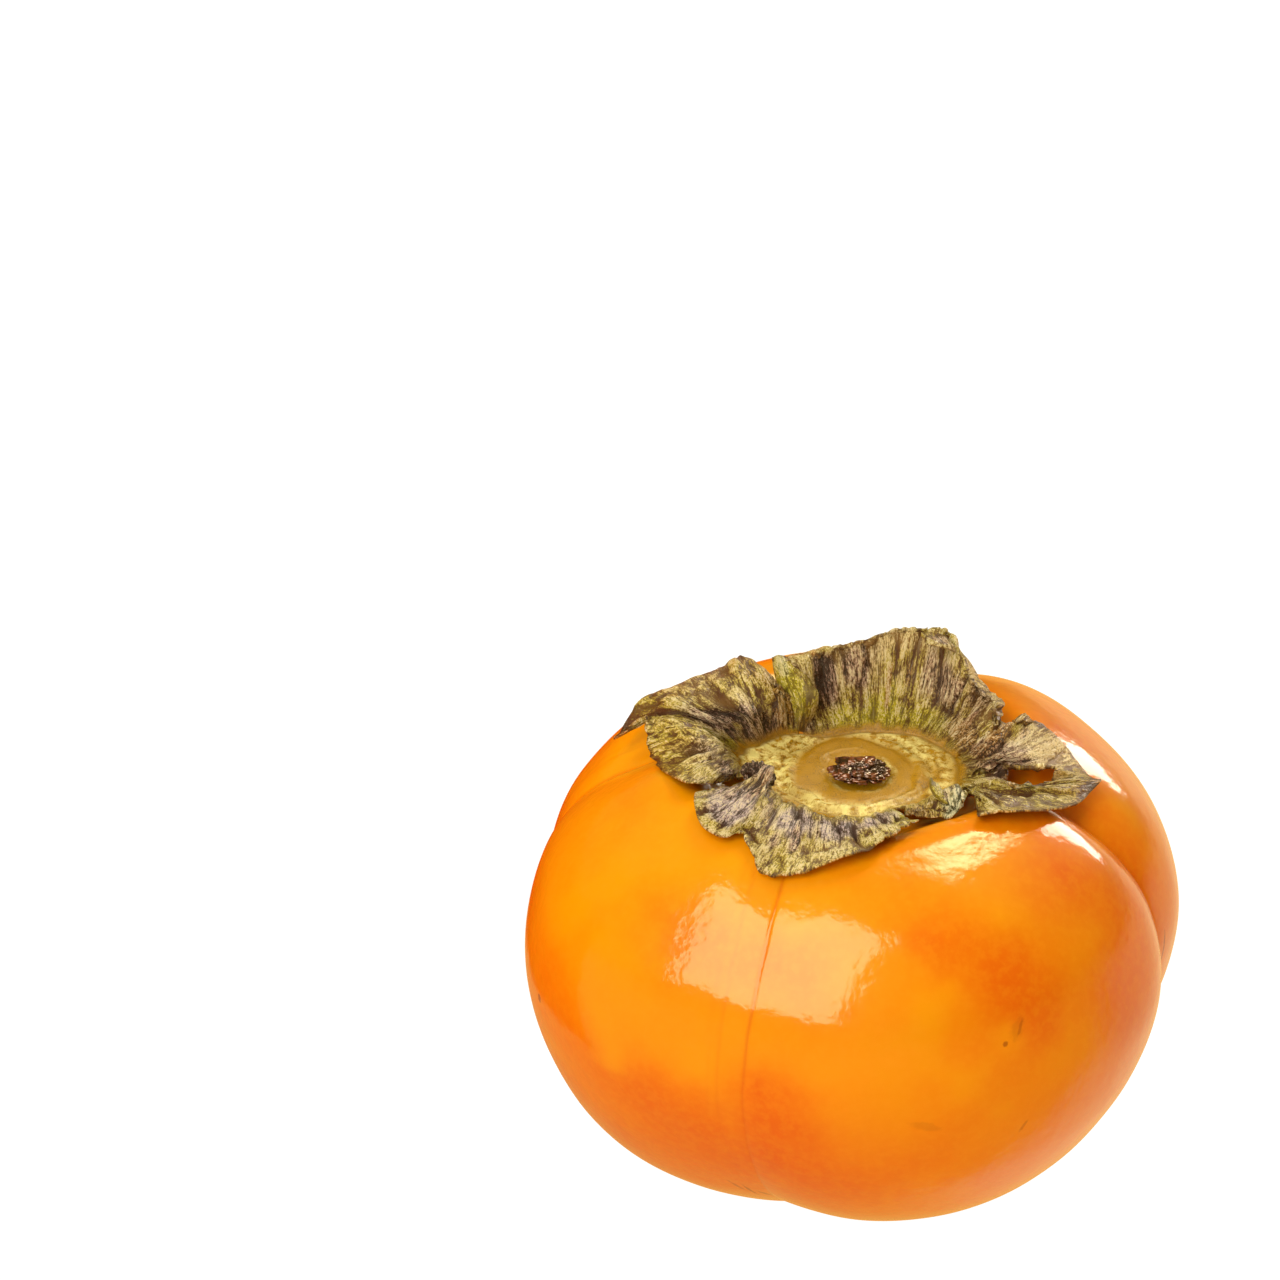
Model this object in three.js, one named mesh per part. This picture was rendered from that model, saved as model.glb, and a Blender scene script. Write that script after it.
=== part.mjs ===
// A persimmon of the broad, four-lobed kind, standing on its blossom end with the dried calyx on top.
// Millimetres, +Z up. The origin is the middle of the footprint, on the surface that the fruit rests on.
// A "turn" is an angle about the upright axis in degrees: 0 faces the front (-Y) and it grows towards +X.
//
// Three pieces:
//   fruit      the flesh and skin, one solid, with four grooves, a dimple below and a seat for the calyx
//   calyx      the woody disc and its four sepals, which grew as one thin sheet
//   stem_stub  the crumpled end of the picked stem, sitting in the disc's dish

import * as THREE from 'three';

// ---------------------------------------------------------------- driving dimensions

const EQUATOR_RADIUS = 40.2;
const SHOULDER_HEIGHT = 57.2;
const GROOVE_WIDTH = 15;
const BLADE_THICKNESS = 0.7;
const FIT_GAP = 0.3;

// The lobes are unequal, so the growing axis stands a little off the middle of the footprint.
const AXIS_X = 0.2;
const AXIS_Y = 0.6;

const SEAT_HEIGHT = 0.93 * SHOULDER_HEIGHT;
const DISH_FLOOR = SEAT_HEIGHT + FIT_GAP + BLADE_THICKNESS;

// ---------------------------------------------------------------- fruit

// Half outline of a lobe from the blossom end to the calyx seat: [share of the radius, share of the height].
const PROFILE = [
  [0.000, 0.028],
  [0.112, 0.018],
  [0.212, -0.002],
  [0.311, -0.003],
  [0.448, 0.021],
  [0.613, 0.084],
  [0.808, 0.214],
  [0.948, 0.389],
  [1.000, 0.582],
  [0.956, 0.752],
  [0.843, 0.875],
  [0.694, 0.959],
  [0.560, 1.000],
  [0.468, 0.982],
  [0.378, 0.939],
  [0.224, 0.930],
  [0.000, 0.930],
];

// The grooves between the lobes, in turning order: the front one is a shallow seam and the right one a fold.
const GROOVES = [
  { turn: -18, width: GROOVE_WIDTH, base: 1.4, waist: 0.8, shoulder: 2.1 },
  { turn: 79, width: 0.6 * GROOVE_WIDTH, base: 1.4, waist: 2.8, shoulder: 3.6 },
  { turn: 163, width: 1.2 * GROOVE_WIDTH, base: 3.0, waist: 3.0, shoulder: 4.0 },
  { turn: 261, width: 1.15 * GROOVE_WIDTH, base: 1.6, waist: 2.0, shoulder: 3.4 },
];

// How far each lobe swells past the plain outline; lobe 0 follows groove 0, and so on round.
const LOBE_SWELL = [0.9, -1.1, -1.0, 2.1];

const COLUMNS_PER_LOBE = 20;
const ROWS_PER_SPAN = 2;

const toRadians = (degrees) => (degrees * Math.PI) / 180;

const clamp = (value, low, high) => Math.min(Math.max(value, low), high);

function smoothStep(from, to, x) {
  const s = clamp((x - from) / (to - from), 0, 1);
  return s * s * (3 - 2 * s);
}

// 1 between rise and fall, easing to 0 outside them.
function hill(x, riseFrom, riseTo, fallFrom, fallTo) {
  return smoothStep(riseFrom, riseTo, x) * (1 - smoothStep(fallFrom, fallTo, x));
}

// Catmull-Rom curve through a list of points, each an array of numbers, at a place counted in points.
function curvePoint(points, place, before, after) {
  const last = points.length - 1;
  const i = clamp(Math.floor(place), 0, last - 1);
  const f = place - i;
  const p0 = i > 0 ? points[i - 1] : before;
  const p3 = i < last - 1 ? points[i + 2] : after;
  return points[i].map((p1, axis) => {
    const p2 = points[i + 1][axis];
    const a = 2 * p1;
    const b = p2 - p0[axis];
    const c = 2 * p0[axis] - 5 * p1 + 4 * p2 - p3[axis];
    const d = 3 * p1 - p0[axis] - 3 * p2 + p3[axis];
    return 0.5 * (a + f * (b + f * (c + f * d)));
  });
}

// The plain outline at a place along PROFILE, as [distance from the axis, height] in mm.
function outlinePoint(place) {
  const n = PROFILE.length;
  const mirrored = ([r, h]) => [-r, h];
  const [r, h] = curvePoint(PROFILE, place, mirrored(PROFILE[1]), mirrored(PROFILE[n - 2]));
  return [r * EQUATOR_RADIUS, h * SHOULDER_HEIGHT];
}

function outlineNormal(place) {
  const step = 0.01;
  const last = PROFILE.length - 1;
  const [r0, h0] = outlinePoint(Math.max(place - step, 0));
  const [r1, h1] = outlinePoint(Math.min(place + step, last));
  const length = Math.hypot(r1 - r0, h1 - h0);
  return [(h1 - h0) / length, (r0 - r1) / length];
}

function turnFrom(turn, start) {
  return (((turn - start) % 360) + 360) % 360;
}

// Depth of the grooves below the plain outline, less the swell of the lobe, at a place and a turn.
function sunkDepth(place, turn) {
  const base = hill(place, 1.5, 4, 5, 8);
  const waist = hill(place, 4.5, 7.5, 8.5, 11);
  const shoulder = hill(place, 8.5, 11, 12.5, 14.5);
  const side = hill(place, 2.5, 6.5, 11, 15.5);
  let depth = 0;
  GROOVES.forEach((groove, i) => {
    const next = GROOVES[(i + 1) % GROOVES.length];
    const across = turnFrom(turn + 180, groove.turn) - 180;
    const valley = Math.exp(-((across / groove.width) ** 2));
    const crease = Math.exp(-Math.abs(across) / (0.3 * groove.width));
    const most = groove.base * base + groove.waist * waist + groove.shoulder * shoulder;
    depth += most * (0.6 * valley + 0.4 * crease);
    const share = turnFrom(turn, groove.turn) / turnFrom(next.turn, groove.turn);
    if (share < 1) {
      depth -= LOBE_SWELL[i] * side * Math.sin(Math.PI * share) ** 2;
    }
  });
  return depth;
}

// A point of the skin. Below zero it is pressed flat, which gives each lobe its resting pad.
function skinPoint(place, turn) {
  const [r, h] = outlinePoint(place);
  const [normalR, normalH] = outlineNormal(place);
  const depth = sunkDepth(place, turn);
  return placeAround(turn, r - normalR * depth, Math.max(h - normalH * depth, 0));
}

function placeAround(turn, distance, height) {
  const a = toRadians(turn);
  return [AXIS_X + distance * Math.sin(a), AXIS_Y - distance * Math.cos(a), height];
}

// Turns of the columns: one runs down each groove, and they crowd together towards it.
function columnTurns() {
  const turns = [];
  GROOVES.forEach((groove, i) => {
    const next = GROOVES[(i + 1) % GROOVES.length];
    const span = turnFrom(next.turn, groove.turn);
    for (let k = 0; k < COLUMNS_PER_LOBE; k += 1) {
      const even = k / COLUMNS_PER_LOBE;
      const crowded = even - (0.7 * Math.sin(2 * Math.PI * even)) / (2 * Math.PI);
      turns.push(groove.turn + span * crowded);
    }
  });
  return turns;
}

function makeFruit() {
  const turns = columnTurns();
  const columns = turns.length;
  const last = PROFILE.length - 1;
  const rows = last * ROWS_PER_SPAN;
  const vertices = [skinPoint(0, 0)];
  for (let i = 1; i < rows; i += 1) {
    turns.forEach((turn) => vertices.push(skinPoint(i / ROWS_PER_SPAN, turn)));
  }
  vertices.push(skinPoint(last, 0));
  const top = vertices.length - 1;
  const at = (i, j) => 1 + (i - 1) * columns + (j % columns);
  const triangles = [];
  for (let j = 0; j < columns; j += 1) {
    triangles.push([0, at(1, j + 1), at(1, j)]);
    for (let i = 1; i < rows - 1; i += 1) {
      triangles.push([at(i, j), at(i, j + 1), at(i + 1, j + 1)]);
      triangles.push([at(i, j), at(i + 1, j + 1), at(i + 1, j)]);
    }
    triangles.push([top, at(rows - 1, j), at(rows - 1, j + 1)]);
  }
  return toGeometry(vertices, triangles);
}

// ---------------------------------------------------------------- calyx

// Each sepal is a row of ribs in turning order. A rib starts on the disc's rim, climbs to the crest, crosses
// the blade and ends at the free edge. Its points are [turn, distance from the axis, height above the seat].
// The front, right and left sepals fold down over the shoulders; the back one stands up and curls over.
const RIM_HEIGHT = 1.4;

const FRONT_SEPAL = [
  [[293, 12.5, RIM_HEIGHT], [304, 13.0, 6.2], [305, 19.5, 7.0], [306, 23.5, 6.6]],
  [[302, 12.3, RIM_HEIGHT], [320, 14.5, 6.0], [322, 22.0, 6.6], [317, 25.5, 5.6]],
  [[313, 12.0, RIM_HEIGHT], [332, 15.5, 5.8], [332, 22.5, 5.2], [328, 25.5, 4.4]],
  [[335, 10.5, RIM_HEIGHT], [343, 15.5, 5.4], [340, 22.0, 4.2], [338, 26.5, 2.4]],
  [[2, 10.0, RIM_HEIGHT], [2, 15.0, 5.2], [359, 20.5, 5.8], [355, 24.0, 4.6]],
  [[24, 10.0, RIM_HEIGHT], [22, 15.0, 5.0], [23, 17.0, 5.4], [24, 18.5, 5.4]],
];

const RIGHT_SEPAL = [
  [[49, 11.0, RIM_HEIGHT], [48, 15.0, 4.0], [46, 18.0, 5.6], [39, 23.0, 6.2]],
  [[62, 12.5, RIM_HEIGHT], [53, 19.0, 5.2], [48, 23.0, 6.6], [51, 25.0, 5.4]],
  [[73, 13.5, RIM_HEIGHT], [62, 19.5, 5.6], [61, 25.0, 6.0], [66, 27.5, 3.8]],
  [[83, 14.0, RIM_HEIGHT], [71, 19.5, 6.0], [80, 23.5, 4.4], [86, 29.5, 1.4]],
  [[94, 14.2, RIM_HEIGHT], [84, 19.0, 6.2], [87, 22.0, 6.2], [90, 26.0, 4.0]],
  [[103, 13.5, RIM_HEIGHT], [102, 18.5, 6.2], [101, 20.5, 6.2], [101, 22.5, 5.2]],
];

const BACK_SEPAL = [
  [[114, 12.8, RIM_HEIGHT], [110, 16.5, 4.8], [110, 18.5, 8.2], [111, 19.5, 6.8]],
  [[124, 12.0, RIM_HEIGHT], [119, 14.5, 6.0], [123, 17.0, 10.2], [123, 19.0, 8.8]],
  [[140, 11.0, RIM_HEIGHT], [139, 12.5, 6.0], [149, 16.0, 12.2], [145, 18.5, 10.4]],
  [[166, 9.2, RIM_HEIGHT], [166, 10.8, 6.0], [169, 14.0, 12.2], [171, 17.5, 10.0]],
  [[194, 8.8, RIM_HEIGHT], [197, 10.0, 6.0], [192, 12.5, 11.8], [194, 15.5, 9.8]],
  [[212, 9.6, RIM_HEIGHT], [214, 10.4, 5.4], [210, 12.5, 10.2], [214, 16.0, 8.8]],
];

const LEFT_SEPAL = [
  [[226, 10.5, RIM_HEIGHT], [235, 9.5, 5.2], [228, 11.0, 7.8], [223, 14.5, 8.2]],
  [[236, 11.5, RIM_HEIGHT], [250, 11.5, 6.4], [238, 14.5, 8.2], [225, 20.5, 7.8]],
  [[246, 12.5, RIM_HEIGHT], [264, 13.8, 6.8], [246, 19.0, 7.4], [238, 25.0, 6.4]],
  [[258, 13.2, RIM_HEIGHT], [276, 16.5, 6.2], [262, 22.5, 6.2], [253, 30.0, 0.6]],
  [[271, 13.2, RIM_HEIGHT], [285, 18.5, 6.2], [277, 23.5, 6.2], [260, 26.5, 2.4]],
  [[284, 13.0, RIM_HEIGHT], [300, 20.5, 6.8], [296, 23.5, 6.8], [284, 25.0, 5.6]],
];

const SEPALS = [FRONT_SEPAL, RIGHT_SEPAL, BACK_SEPAL, LEFT_SEPAL];

// The disc's face inside the rim: a flat dish for the stem stub with a raised collar round it.
const DISC_RINGS = [
  { radius: 2.2, height: DISH_FLOOR },
  { radius: 4.4, height: DISH_FLOOR },
  { radius: 5.2, height: DISH_FLOOR + 0.7 },
  { radius: 6.2, height: DISH_FLOOR + 0.7 },
  { radius: 7.4, height: DISH_FLOOR + 0.4 },
];

const SEPAL_COLUMNS = 15;
const SEPAL_ROWS = 10;

const aboveSeat = ([turn, distance, height]) => placeAround(turn, distance, SEAT_HEIGHT + height);

// Straight-on ends, so that a blade keeps its direction at its edges.
function freeCurvePoint(points, place) {
  const last = points.length - 1;
  const before = points[0].map((value, axis) => 2 * value - points[1][axis]);
  const after = points[last].map((value, axis) => 2 * value - points[last - 1][axis]);
  return curvePoint(points, place, before, after);
}

// The blade as rows from the rim to the free edge, each row running in turning order.
function sepalGrid(ribs) {
  const spacedRibs = ribs.map((rib) => {
    const points = rib.map(aboveSeat);
    const steps = Array.from({ length: SEPAL_ROWS }, (_, i) => (i * (points.length - 1)) / (SEPAL_ROWS - 1));
    return steps.map((place) => freeCurvePoint(points, place));
  });
  const grid = [];
  for (let i = 0; i < SEPAL_ROWS; i += 1) {
    const across = spacedRibs.map((rib) => rib[i]);
    const row = [];
    for (let j = 0; j < SEPAL_COLUMNS; j += 1) {
      row.push(freeCurvePoint(across, (j * (across.length - 1)) / (SEPAL_COLUMNS - 1)));
    }
    grid.push(row);
  }
  return grid;
}

// The upper face of the whole calyx: four blades standing on the rim of one disc.
function calyxSheet() {
  const vertices = [];
  const triangles = [];
  const rim = [];
  SEPALS.forEach((ribs) => {
    const first = vertices.length;
    sepalGrid(ribs).forEach((row) => vertices.push(...row));
    const at = (i, j) => first + i * SEPAL_COLUMNS + j;
    for (let j = 0; j < SEPAL_COLUMNS; j += 1) {
      rim.push(at(0, j));
    }
    for (let i = 0; i < SEPAL_ROWS - 1; i += 1) {
      for (let j = 0; j < SEPAL_COLUMNS - 1; j += 1) {
        triangles.push([at(i, j), at(i + 1, j), at(i + 1, j + 1)]);
        triangles.push([at(i, j), at(i + 1, j + 1), at(i, j + 1)]);
      }
    }
  });
  const rimTurns = rim.map((index) => {
    const [x, y] = vertices[index];
    return Math.atan2(x - AXIS_X, AXIS_Y - y) / toRadians(1);
  });
  const centre = vertices.length;
  vertices.push(placeAround(0, 0, DISH_FLOOR));
  let inner = rim.map(() => centre);
  DISC_RINGS.forEach(({ radius, height }) => {
    const ring = rimTurns.map((turn) => vertices.push(placeAround(turn, radius, height)) - 1);
    joinRings(inner, ring, triangles);
    inner = ring;
  });
  joinRings(inner, rim, triangles);
  return { vertices, triangles };
}

// Triangles between two rings of equal count; an inner ring of one repeated vertex gives a fan.
function joinRings(inner, outer, triangles) {
  const count = outer.length;
  for (let j = 0; j < count; j += 1) {
    const k = (j + 1) % count;
    triangles.push([inner[j], outer[j], outer[k]]);
    if (inner[j] !== inner[k]) {
      triangles.push([inner[j], outer[k], inner[k]]);
    }
  }
}

function vertexNormals(vertices, triangles) {
  const normals = vertices.map(() => new THREE.Vector3());
  triangles.forEach((triangle) => {
    const [a, b, c] = triangle.map((index) => new THREE.Vector3(...vertices[index]));
    const areaNormal = b.sub(a).cross(c.sub(a));
    triangle.forEach((index) => normals[index].add(areaNormal));
  });
  return normals.map((normal) => normal.normalize().toArray());
}

// A closed plate from an open sheet: the lower face is the same triangles moved in by the thickness,
// and a wall closes every free edge.
function thicken({ vertices, triangles }, thickness) {
  const count = vertices.length;
  const normals = vertexNormals(vertices, triangles);
  const lower = vertices.map((point, i) => point.map((value, axis) => value - thickness * normals[i][axis]));
  const all = [...triangles];
  triangles.forEach(([a, b, c]) => all.push([a + count, c + count, b + count]));
  const edges = new Set();
  triangles.forEach(([a, b, c]) => {
    [[a, b], [b, c], [c, a]].forEach(([from, to]) => edges.add(`${from} ${to}`));
  });
  edges.forEach((edge) => {
    const [from, to] = edge.split(' ').map(Number);
    if (!edges.has(`${to} ${from}`)) {
      all.push([to, from, from + count]);
      all.push([to, from + count, to + count]);
    }
  });
  return { vertices: [...vertices, ...lower], triangles: all };
}

function makeCalyx() {
  const plate = thicken(calyxSheet(), BLADE_THICKNESS);
  return toGeometry(plate.vertices, plate.triangles);
}

// ---------------------------------------------------------------- stem stub

// A low crumpled plug, wider than deep, standing in the dish on its flat broken foot.
const STUB_HALF_WIDTH = 3.8;
const STUB_HALF_DEPTH = 2.6;
const STUB_HEIGHT = 2.4;
const STUB_FORWARD = 1.3;
const STUB_SIDES = 20;
const STUB_RINGS = [[0.92, 0], [1, 0.3], [0.93, 0.65], [0.72, 0.92], [0.4, 0.85]];

function makeStemStub() {
  const foot = DISH_FLOOR + FIT_GAP;
  const centreX = AXIS_X + 0.5;
  const centreY = AXIS_Y - STUB_FORWARD;
  const vertices = [[centreX, centreY, foot]];
  STUB_RINGS.forEach(([share, height]) => {
    for (let j = 0; j < STUB_SIDES; j += 1) {
      const a = (2 * Math.PI * j) / STUB_SIDES;
      const crumple = 1 + 0.05 * Math.sin(3 * a + 1) + 0.04 * Math.sin(7 * a + 4 * height);
      const x = centreX + STUB_HALF_WIDTH * share * crumple * Math.sin(a);
      const y = centreY - STUB_HALF_DEPTH * share * crumple * Math.cos(a);
      const lift = height * (1 + 0.12 * Math.sin(4 * a + 2));
      vertices.push([x, y, foot + STUB_HEIGHT * lift]);
    }
  });
  vertices.push([centreX, centreY, foot + 0.7 * STUB_HEIGHT]);
  const top = vertices.length - 1;
  const rings = STUB_RINGS.map((_, i) => Array.from({ length: STUB_SIDES }, (__, j) => 1 + i * STUB_SIDES + j));
  const triangles = [];
  rings[0].forEach((index, j) => triangles.push([0, rings[0][(j + 1) % STUB_SIDES], index]));
  for (let i = 0; i < rings.length - 1; i += 1) {
    joinRings(rings[i + 1], rings[i], triangles);
  }
  joinRings(rings.at(-1).map(() => top), rings.at(-1), triangles);
  return toGeometry(vertices, triangles);
}

// ---------------------------------------------------------------- assembly

function toGeometry(vertices, triangles) {
  const geometry = new THREE.BufferGeometry();
  geometry.setAttribute('position', new THREE.Float32BufferAttribute(vertices.flat(), 3));
  geometry.setIndex(triangles.flat());
  geometry.computeVertexNormals();
  return geometry;
}

function makeMesh(name, geometry, color, roughness) {
  const mesh = new THREE.Mesh(geometry, new THREE.MeshStandardMaterial({ color, roughness, metalness: 0 }));
  mesh.name = name;
  return mesh;
}

const persimmon = new THREE.Group();
persimmon.name = 'persimmon';
persimmon.add(makeMesh('fruit', makeFruit(), 0xf28a0f, 0.2));
persimmon.add(makeMesh('calyx', makeCalyx(), 0x8a8450, 0.6));
persimmon.add(makeMesh('stem_stub', makeStemStub(), 0x3a2015, 0.4));

export default persimmon;
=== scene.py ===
"""A persimmon dressed for the camera: fine skin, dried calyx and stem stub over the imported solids.

Shapes are worked out in millimetres, in the same frame as the solids, and made into meshes in metres.
A turn is an angle about the upright axis in degrees: 0 faces the front (-Y) and it grows towards +X.
"""

import bpy
import numpy as np
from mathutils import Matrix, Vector


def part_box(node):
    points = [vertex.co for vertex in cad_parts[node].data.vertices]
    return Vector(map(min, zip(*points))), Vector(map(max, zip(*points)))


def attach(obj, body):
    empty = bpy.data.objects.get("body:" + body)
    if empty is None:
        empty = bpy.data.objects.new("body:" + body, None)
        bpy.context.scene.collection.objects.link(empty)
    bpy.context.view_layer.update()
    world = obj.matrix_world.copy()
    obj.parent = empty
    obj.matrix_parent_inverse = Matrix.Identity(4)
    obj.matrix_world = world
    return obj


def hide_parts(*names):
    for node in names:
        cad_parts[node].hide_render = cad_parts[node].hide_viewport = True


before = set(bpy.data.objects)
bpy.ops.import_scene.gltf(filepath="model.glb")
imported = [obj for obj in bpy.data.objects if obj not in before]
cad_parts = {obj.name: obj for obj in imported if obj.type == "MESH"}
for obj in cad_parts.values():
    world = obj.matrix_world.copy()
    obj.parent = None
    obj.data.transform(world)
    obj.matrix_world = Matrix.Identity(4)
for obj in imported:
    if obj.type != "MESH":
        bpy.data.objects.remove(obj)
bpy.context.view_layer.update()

MM = 0.001

# ---- driving dimensions, in mm

EQUATOR_RADIUS = 40.2
SHOULDER_HEIGHT = 57.2
GROOVE_WIDTH = 15
BLADE_THICKNESS = 0.7
FIT_GAP = 0.3
AXIS = np.array([0.2, 0.6])
SEAT_HEIGHT = 0.93 * SHOULDER_HEIGHT
DISH_FLOOR = SEAT_HEIGHT + FIT_GAP + BLADE_THICKNESS

# Half outline of a lobe from the blossom end to the calyx seat: [share of the radius, share of the height].
PROFILE = np.array([
    [0, 0.028], [0.112, 0.018], [0.212, -0.002], [0.311, -0.003], [0.443, 0.025], [0.603, 0.094],
    [0.799, 0.222], [0.942, 0.391], [1, 0.582], [0.956, 0.752], [0.843, 0.875], [0.694, 0.959],
    [0.56, 1], [0.468, 0.982], [0.378, 0.939], [0.224, 0.93], [0, 0.93],
])
LAST_PLACE = len(PROFILE) - 1

# Grooves in turning order: turn, width in degrees, and depth near the base, at the waist and on the shoulder.
GROOVES = [
    (-18, GROOVE_WIDTH, 1.2, 0.3, 0.6),
    (79, 0.6 * GROOVE_WIDTH, 1.4, 2.8, 3.6),
    (163, 1.2 * GROOVE_WIDTH, 3.0, 3.0, 4.0),
    (261, 1.15 * GROOVE_WIDTH, 1.6, 2.0, 3.4),
]
# Swell of the lobe after each groove, on its side and on its shoulder.
LOBE_SWELL = [1.4, 0.2, -1, 1.5]
SHOULDER_SWELL = [1.7, 0, 0, 0]

# Blades of the calyx. A rib runs from the disc to the free edge through four points, each
# [turn, distance from the axis, height above the seat], and the ribs follow in turning order.
FRONT_SEPAL = [
    [[283, 12.5, 1.6], [297, 14.5, 4.6], [303, 19.5, 6.3], [305, 23, 6.8]],
    [[289, 12, 1.6], [308, 16, 6.6], [312, 22, 7], [309, 24.5, 6.5]],
    [[295, 12, 1.6], [313, 15, 7.8], [318, 22.5, 6.8], [316, 26, 5.8]],
    [[301, 12, 1.6], [321, 15.5, 7.6], [323, 22.5, 6.4], [323, 25.5, 5.2]],
    [[308, 11.5, 1.6], [324, 16, 6.3], [327, 21.5, 5.8], [326, 24, 5.4]],
    [[315, 11.5, 1.6], [328, 16, 6.1], [332, 22.5, 5.5], [332, 25.5, 4.3]],
    [[325, 11.5, 1.6], [335, 16, 6.1], [338, 22, 4.8], [337, 27, 3.2]],
    [[336, 11, 1.6], [343, 16, 5.8], [346, 21, 4.6], [346, 26, 3.7]],
    [[347, 11, 1.6], [352, 16, 5.6], [354, 20, 4.9], [356, 24.8, 5.3]],
    [[359, 10.5, 1.6], [361, 15.5, 5.3], [363, 19, 5.4], [365, 23.2, 6.2]],
    [[370, 10.5, 1.6], [370, 15.5, 5.8], [372, 17.5, 6.1], [374, 20.8, 6.5]],
    [[381, 10, 1.6], [378, 15, 5.8], [380, 17, 6.2], [385, 18.3, 5.6]],
]
TORN_SEPAL = [
    [[30, 9.5, 1.6], [28, 12.5, 3.8], [25, 14.5, 4.6], [25, 14.5, 4.3]],
    [[38, 10, 1.6], [34, 13, 4.3], [30, 15, 5], [29, 16, 4.4]],
    [[46, 10.5, 1.6], [42, 13.5, 5], [36, 16, 5.3], [34, 17, 4.3]],
    [[53, 11, 1.6], [46, 14.5, 5.6], [41, 16.5, 5.3], [38, 18, 4.5]],
    [[60, 11.5, 1.6], [52, 15, 6], [45, 17.5, 5.8], [41, 18.5, 4.9]],
    [[65, 12, 1.6], [54, 15.5, 5.8], [51, 17, 6.1], [46, 18, 4.8]],
]
RIGHT_SEPAL = [
    [[68, 12, 1.4], [57, 16, 4.9], [50, 18.5, 5.2], [42.5, 21.5, 6]],
    [[71, 12, 1.4], [56, 16.5, 5.4], [52, 20, 5.8], [52, 24.2, 6.3]],
    [[75, 12.5, 1.4], [57, 17, 5.6], [58, 21, 6], [63, 26.3, 5]],
    [[78, 12.5, 1.4], [64, 17, 5.1], [69, 23, 5], [78, 28, 1.8]],
    [[81, 12.5, 1.4], [66, 18, 5.1], [70, 23, 5.1], [86, 29.2, 2.3]],
    [[84, 12.5, 1.4], [79, 17, 4.1], [75, 22.5, 6.1], [88, 28, 2.6]],
    [[87, 12.5, 1.4], [79, 16.5, 4.8], [78, 21.5, 6.3], [93, 26, 4.3]],
    [[91, 12.5, 1.4], [81, 16.5, 5.1], [79, 20, 7.1], [94, 24, 6.3]],
    [[96, 12.5, 1.4], [85, 15.5, 5.1], [84, 18.5, 7.1], [96, 21.5, 7.3]],
    [[100, 12.5, 1.4], [91, 15, 4.8], [91, 17, 6.8], [98, 19, 7.3]],
    [[105, 12.5, 1.4], [95, 14, 4.3], [95, 16, 6.8], [100, 17.5, 7.3]],
]
BACK_SEPAL = [
    [[106, 12.5, 1.4], [99, 14.5, 4.3], [94, 16.5, 7.8], [105, 18.5, 6.8]],
    [[114, 12, 1.4], [111, 14.5, 4.6], [106, 17, 8.8], [113, 19.5, 7.3]],
    [[123, 11.5, 1.4], [120, 14, 5.4], [115, 15, 10.8], [122, 18, 8.8]],
    [[135, 11, 1.4], [132, 13, 5.6], [139, 17, 12.6], [137, 18, 10.6]],
    [[147, 10, 1.4], [147, 12, 5.8], [150, 16, 13.1], [151, 18, 11]],
    [[161, 9, 1.4], [164, 11, 5.8], [165, 14, 12.8], [167, 16, 11]],
    [[177, 8.5, 1.4], [181, 10.5, 5.6], [185, 12, 11.8], [185, 14.5, 9.8]],
    [[194, 8, 1.4], [198, 10, 5.2], [201, 12, 11.3], [199, 15.5, 9.4]],
    [[212, 8.5, 1.4], [214, 10, 4.6], [215, 12.5, 9.8], [213, 16.5, 8.4]],
    [[220, 10, 1.5], [221, 10.5, 3.6], [221, 12, 6.3], [219, 14.5, 6.8]],
]
LEFT_SEPAL = [
    [[222, 10.4, 1.5], [221, 10.8, 3.4], [226, 10.5, 6.6], [225, 11, 7.3]],
    [[231, 11.5, 1.6], [234, 11, 5.6], [233, 12, 8.8], [224, 15.5, 7.8]],
    [[238, 12, 1.6], [240, 12.5, 6.1], [234, 15.5, 9.1], [225, 20, 8.3]],
    [[244, 12.5, 1.6], [256, 13.5, 7.1], [244, 18.5, 8.6], [234, 22.5, 7.3]],
    [[249, 13, 1.6], [258, 15.5, 6.6], [252, 20.5, 7.8], [243, 24.5, 6.6]],
    [[253, 14, 1.6], [260, 17, 5.8], [257, 22.5, 7], [251, 28, 5.3]],
    [[256, 14, 1.6], [261, 18, 5], [259, 24, 5.6], [257, 30, 1.3]],
    [[258, 14, 1.6], [263, 18.5, 4.4], [258, 24, 4.4], [257, 26.5, 4.8]],
    [[261, 14.5, 1.6], [269, 17.5, 6.1], [267, 21.5, 7], [266, 25.5, 4.3]],
    [[264, 14, 1.6], [277, 16.5, 6.4], [281, 19.5, 6.8], [274, 24.5, 3.3]],
    [[268, 14, 1.6], [285, 15.5, 6.1], [292, 18.5, 6.6], [298, 23, 6.7]],
    [[273, 13.5, 1.6], [290, 15, 5.4], [297, 16.5, 5.8], [298, 18.5, 4.8]],
    [[278, 13, 1.6], [290, 14, 4.3], [295, 15, 4.8], [294, 15.5, 4]],
]
ROLLED_LOBE = [
    [[216, 10.5, 1.8], [215, 8.5, 5.3], [212, 9, 7.3], [208, 12, 7.3]],
    [[218, 10, 1.8], [222, 8, 6.3], [215, 8.5, 8.3], [210, 12, 8.3]],
    [[220, 10, 1.8], [231, 8, 6.8], [223, 9.5, 9.3], [213, 13.5, 9.3]],
    [[222, 10.5, 1.8], [231, 9, 6.3], [225, 11.5, 8.8], [215, 16, 9.3]],
    [[222, 11, 1.8], [225, 11.5, 4.8], [225, 14, 7.3], [218, 17, 8.8]],
]

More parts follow.
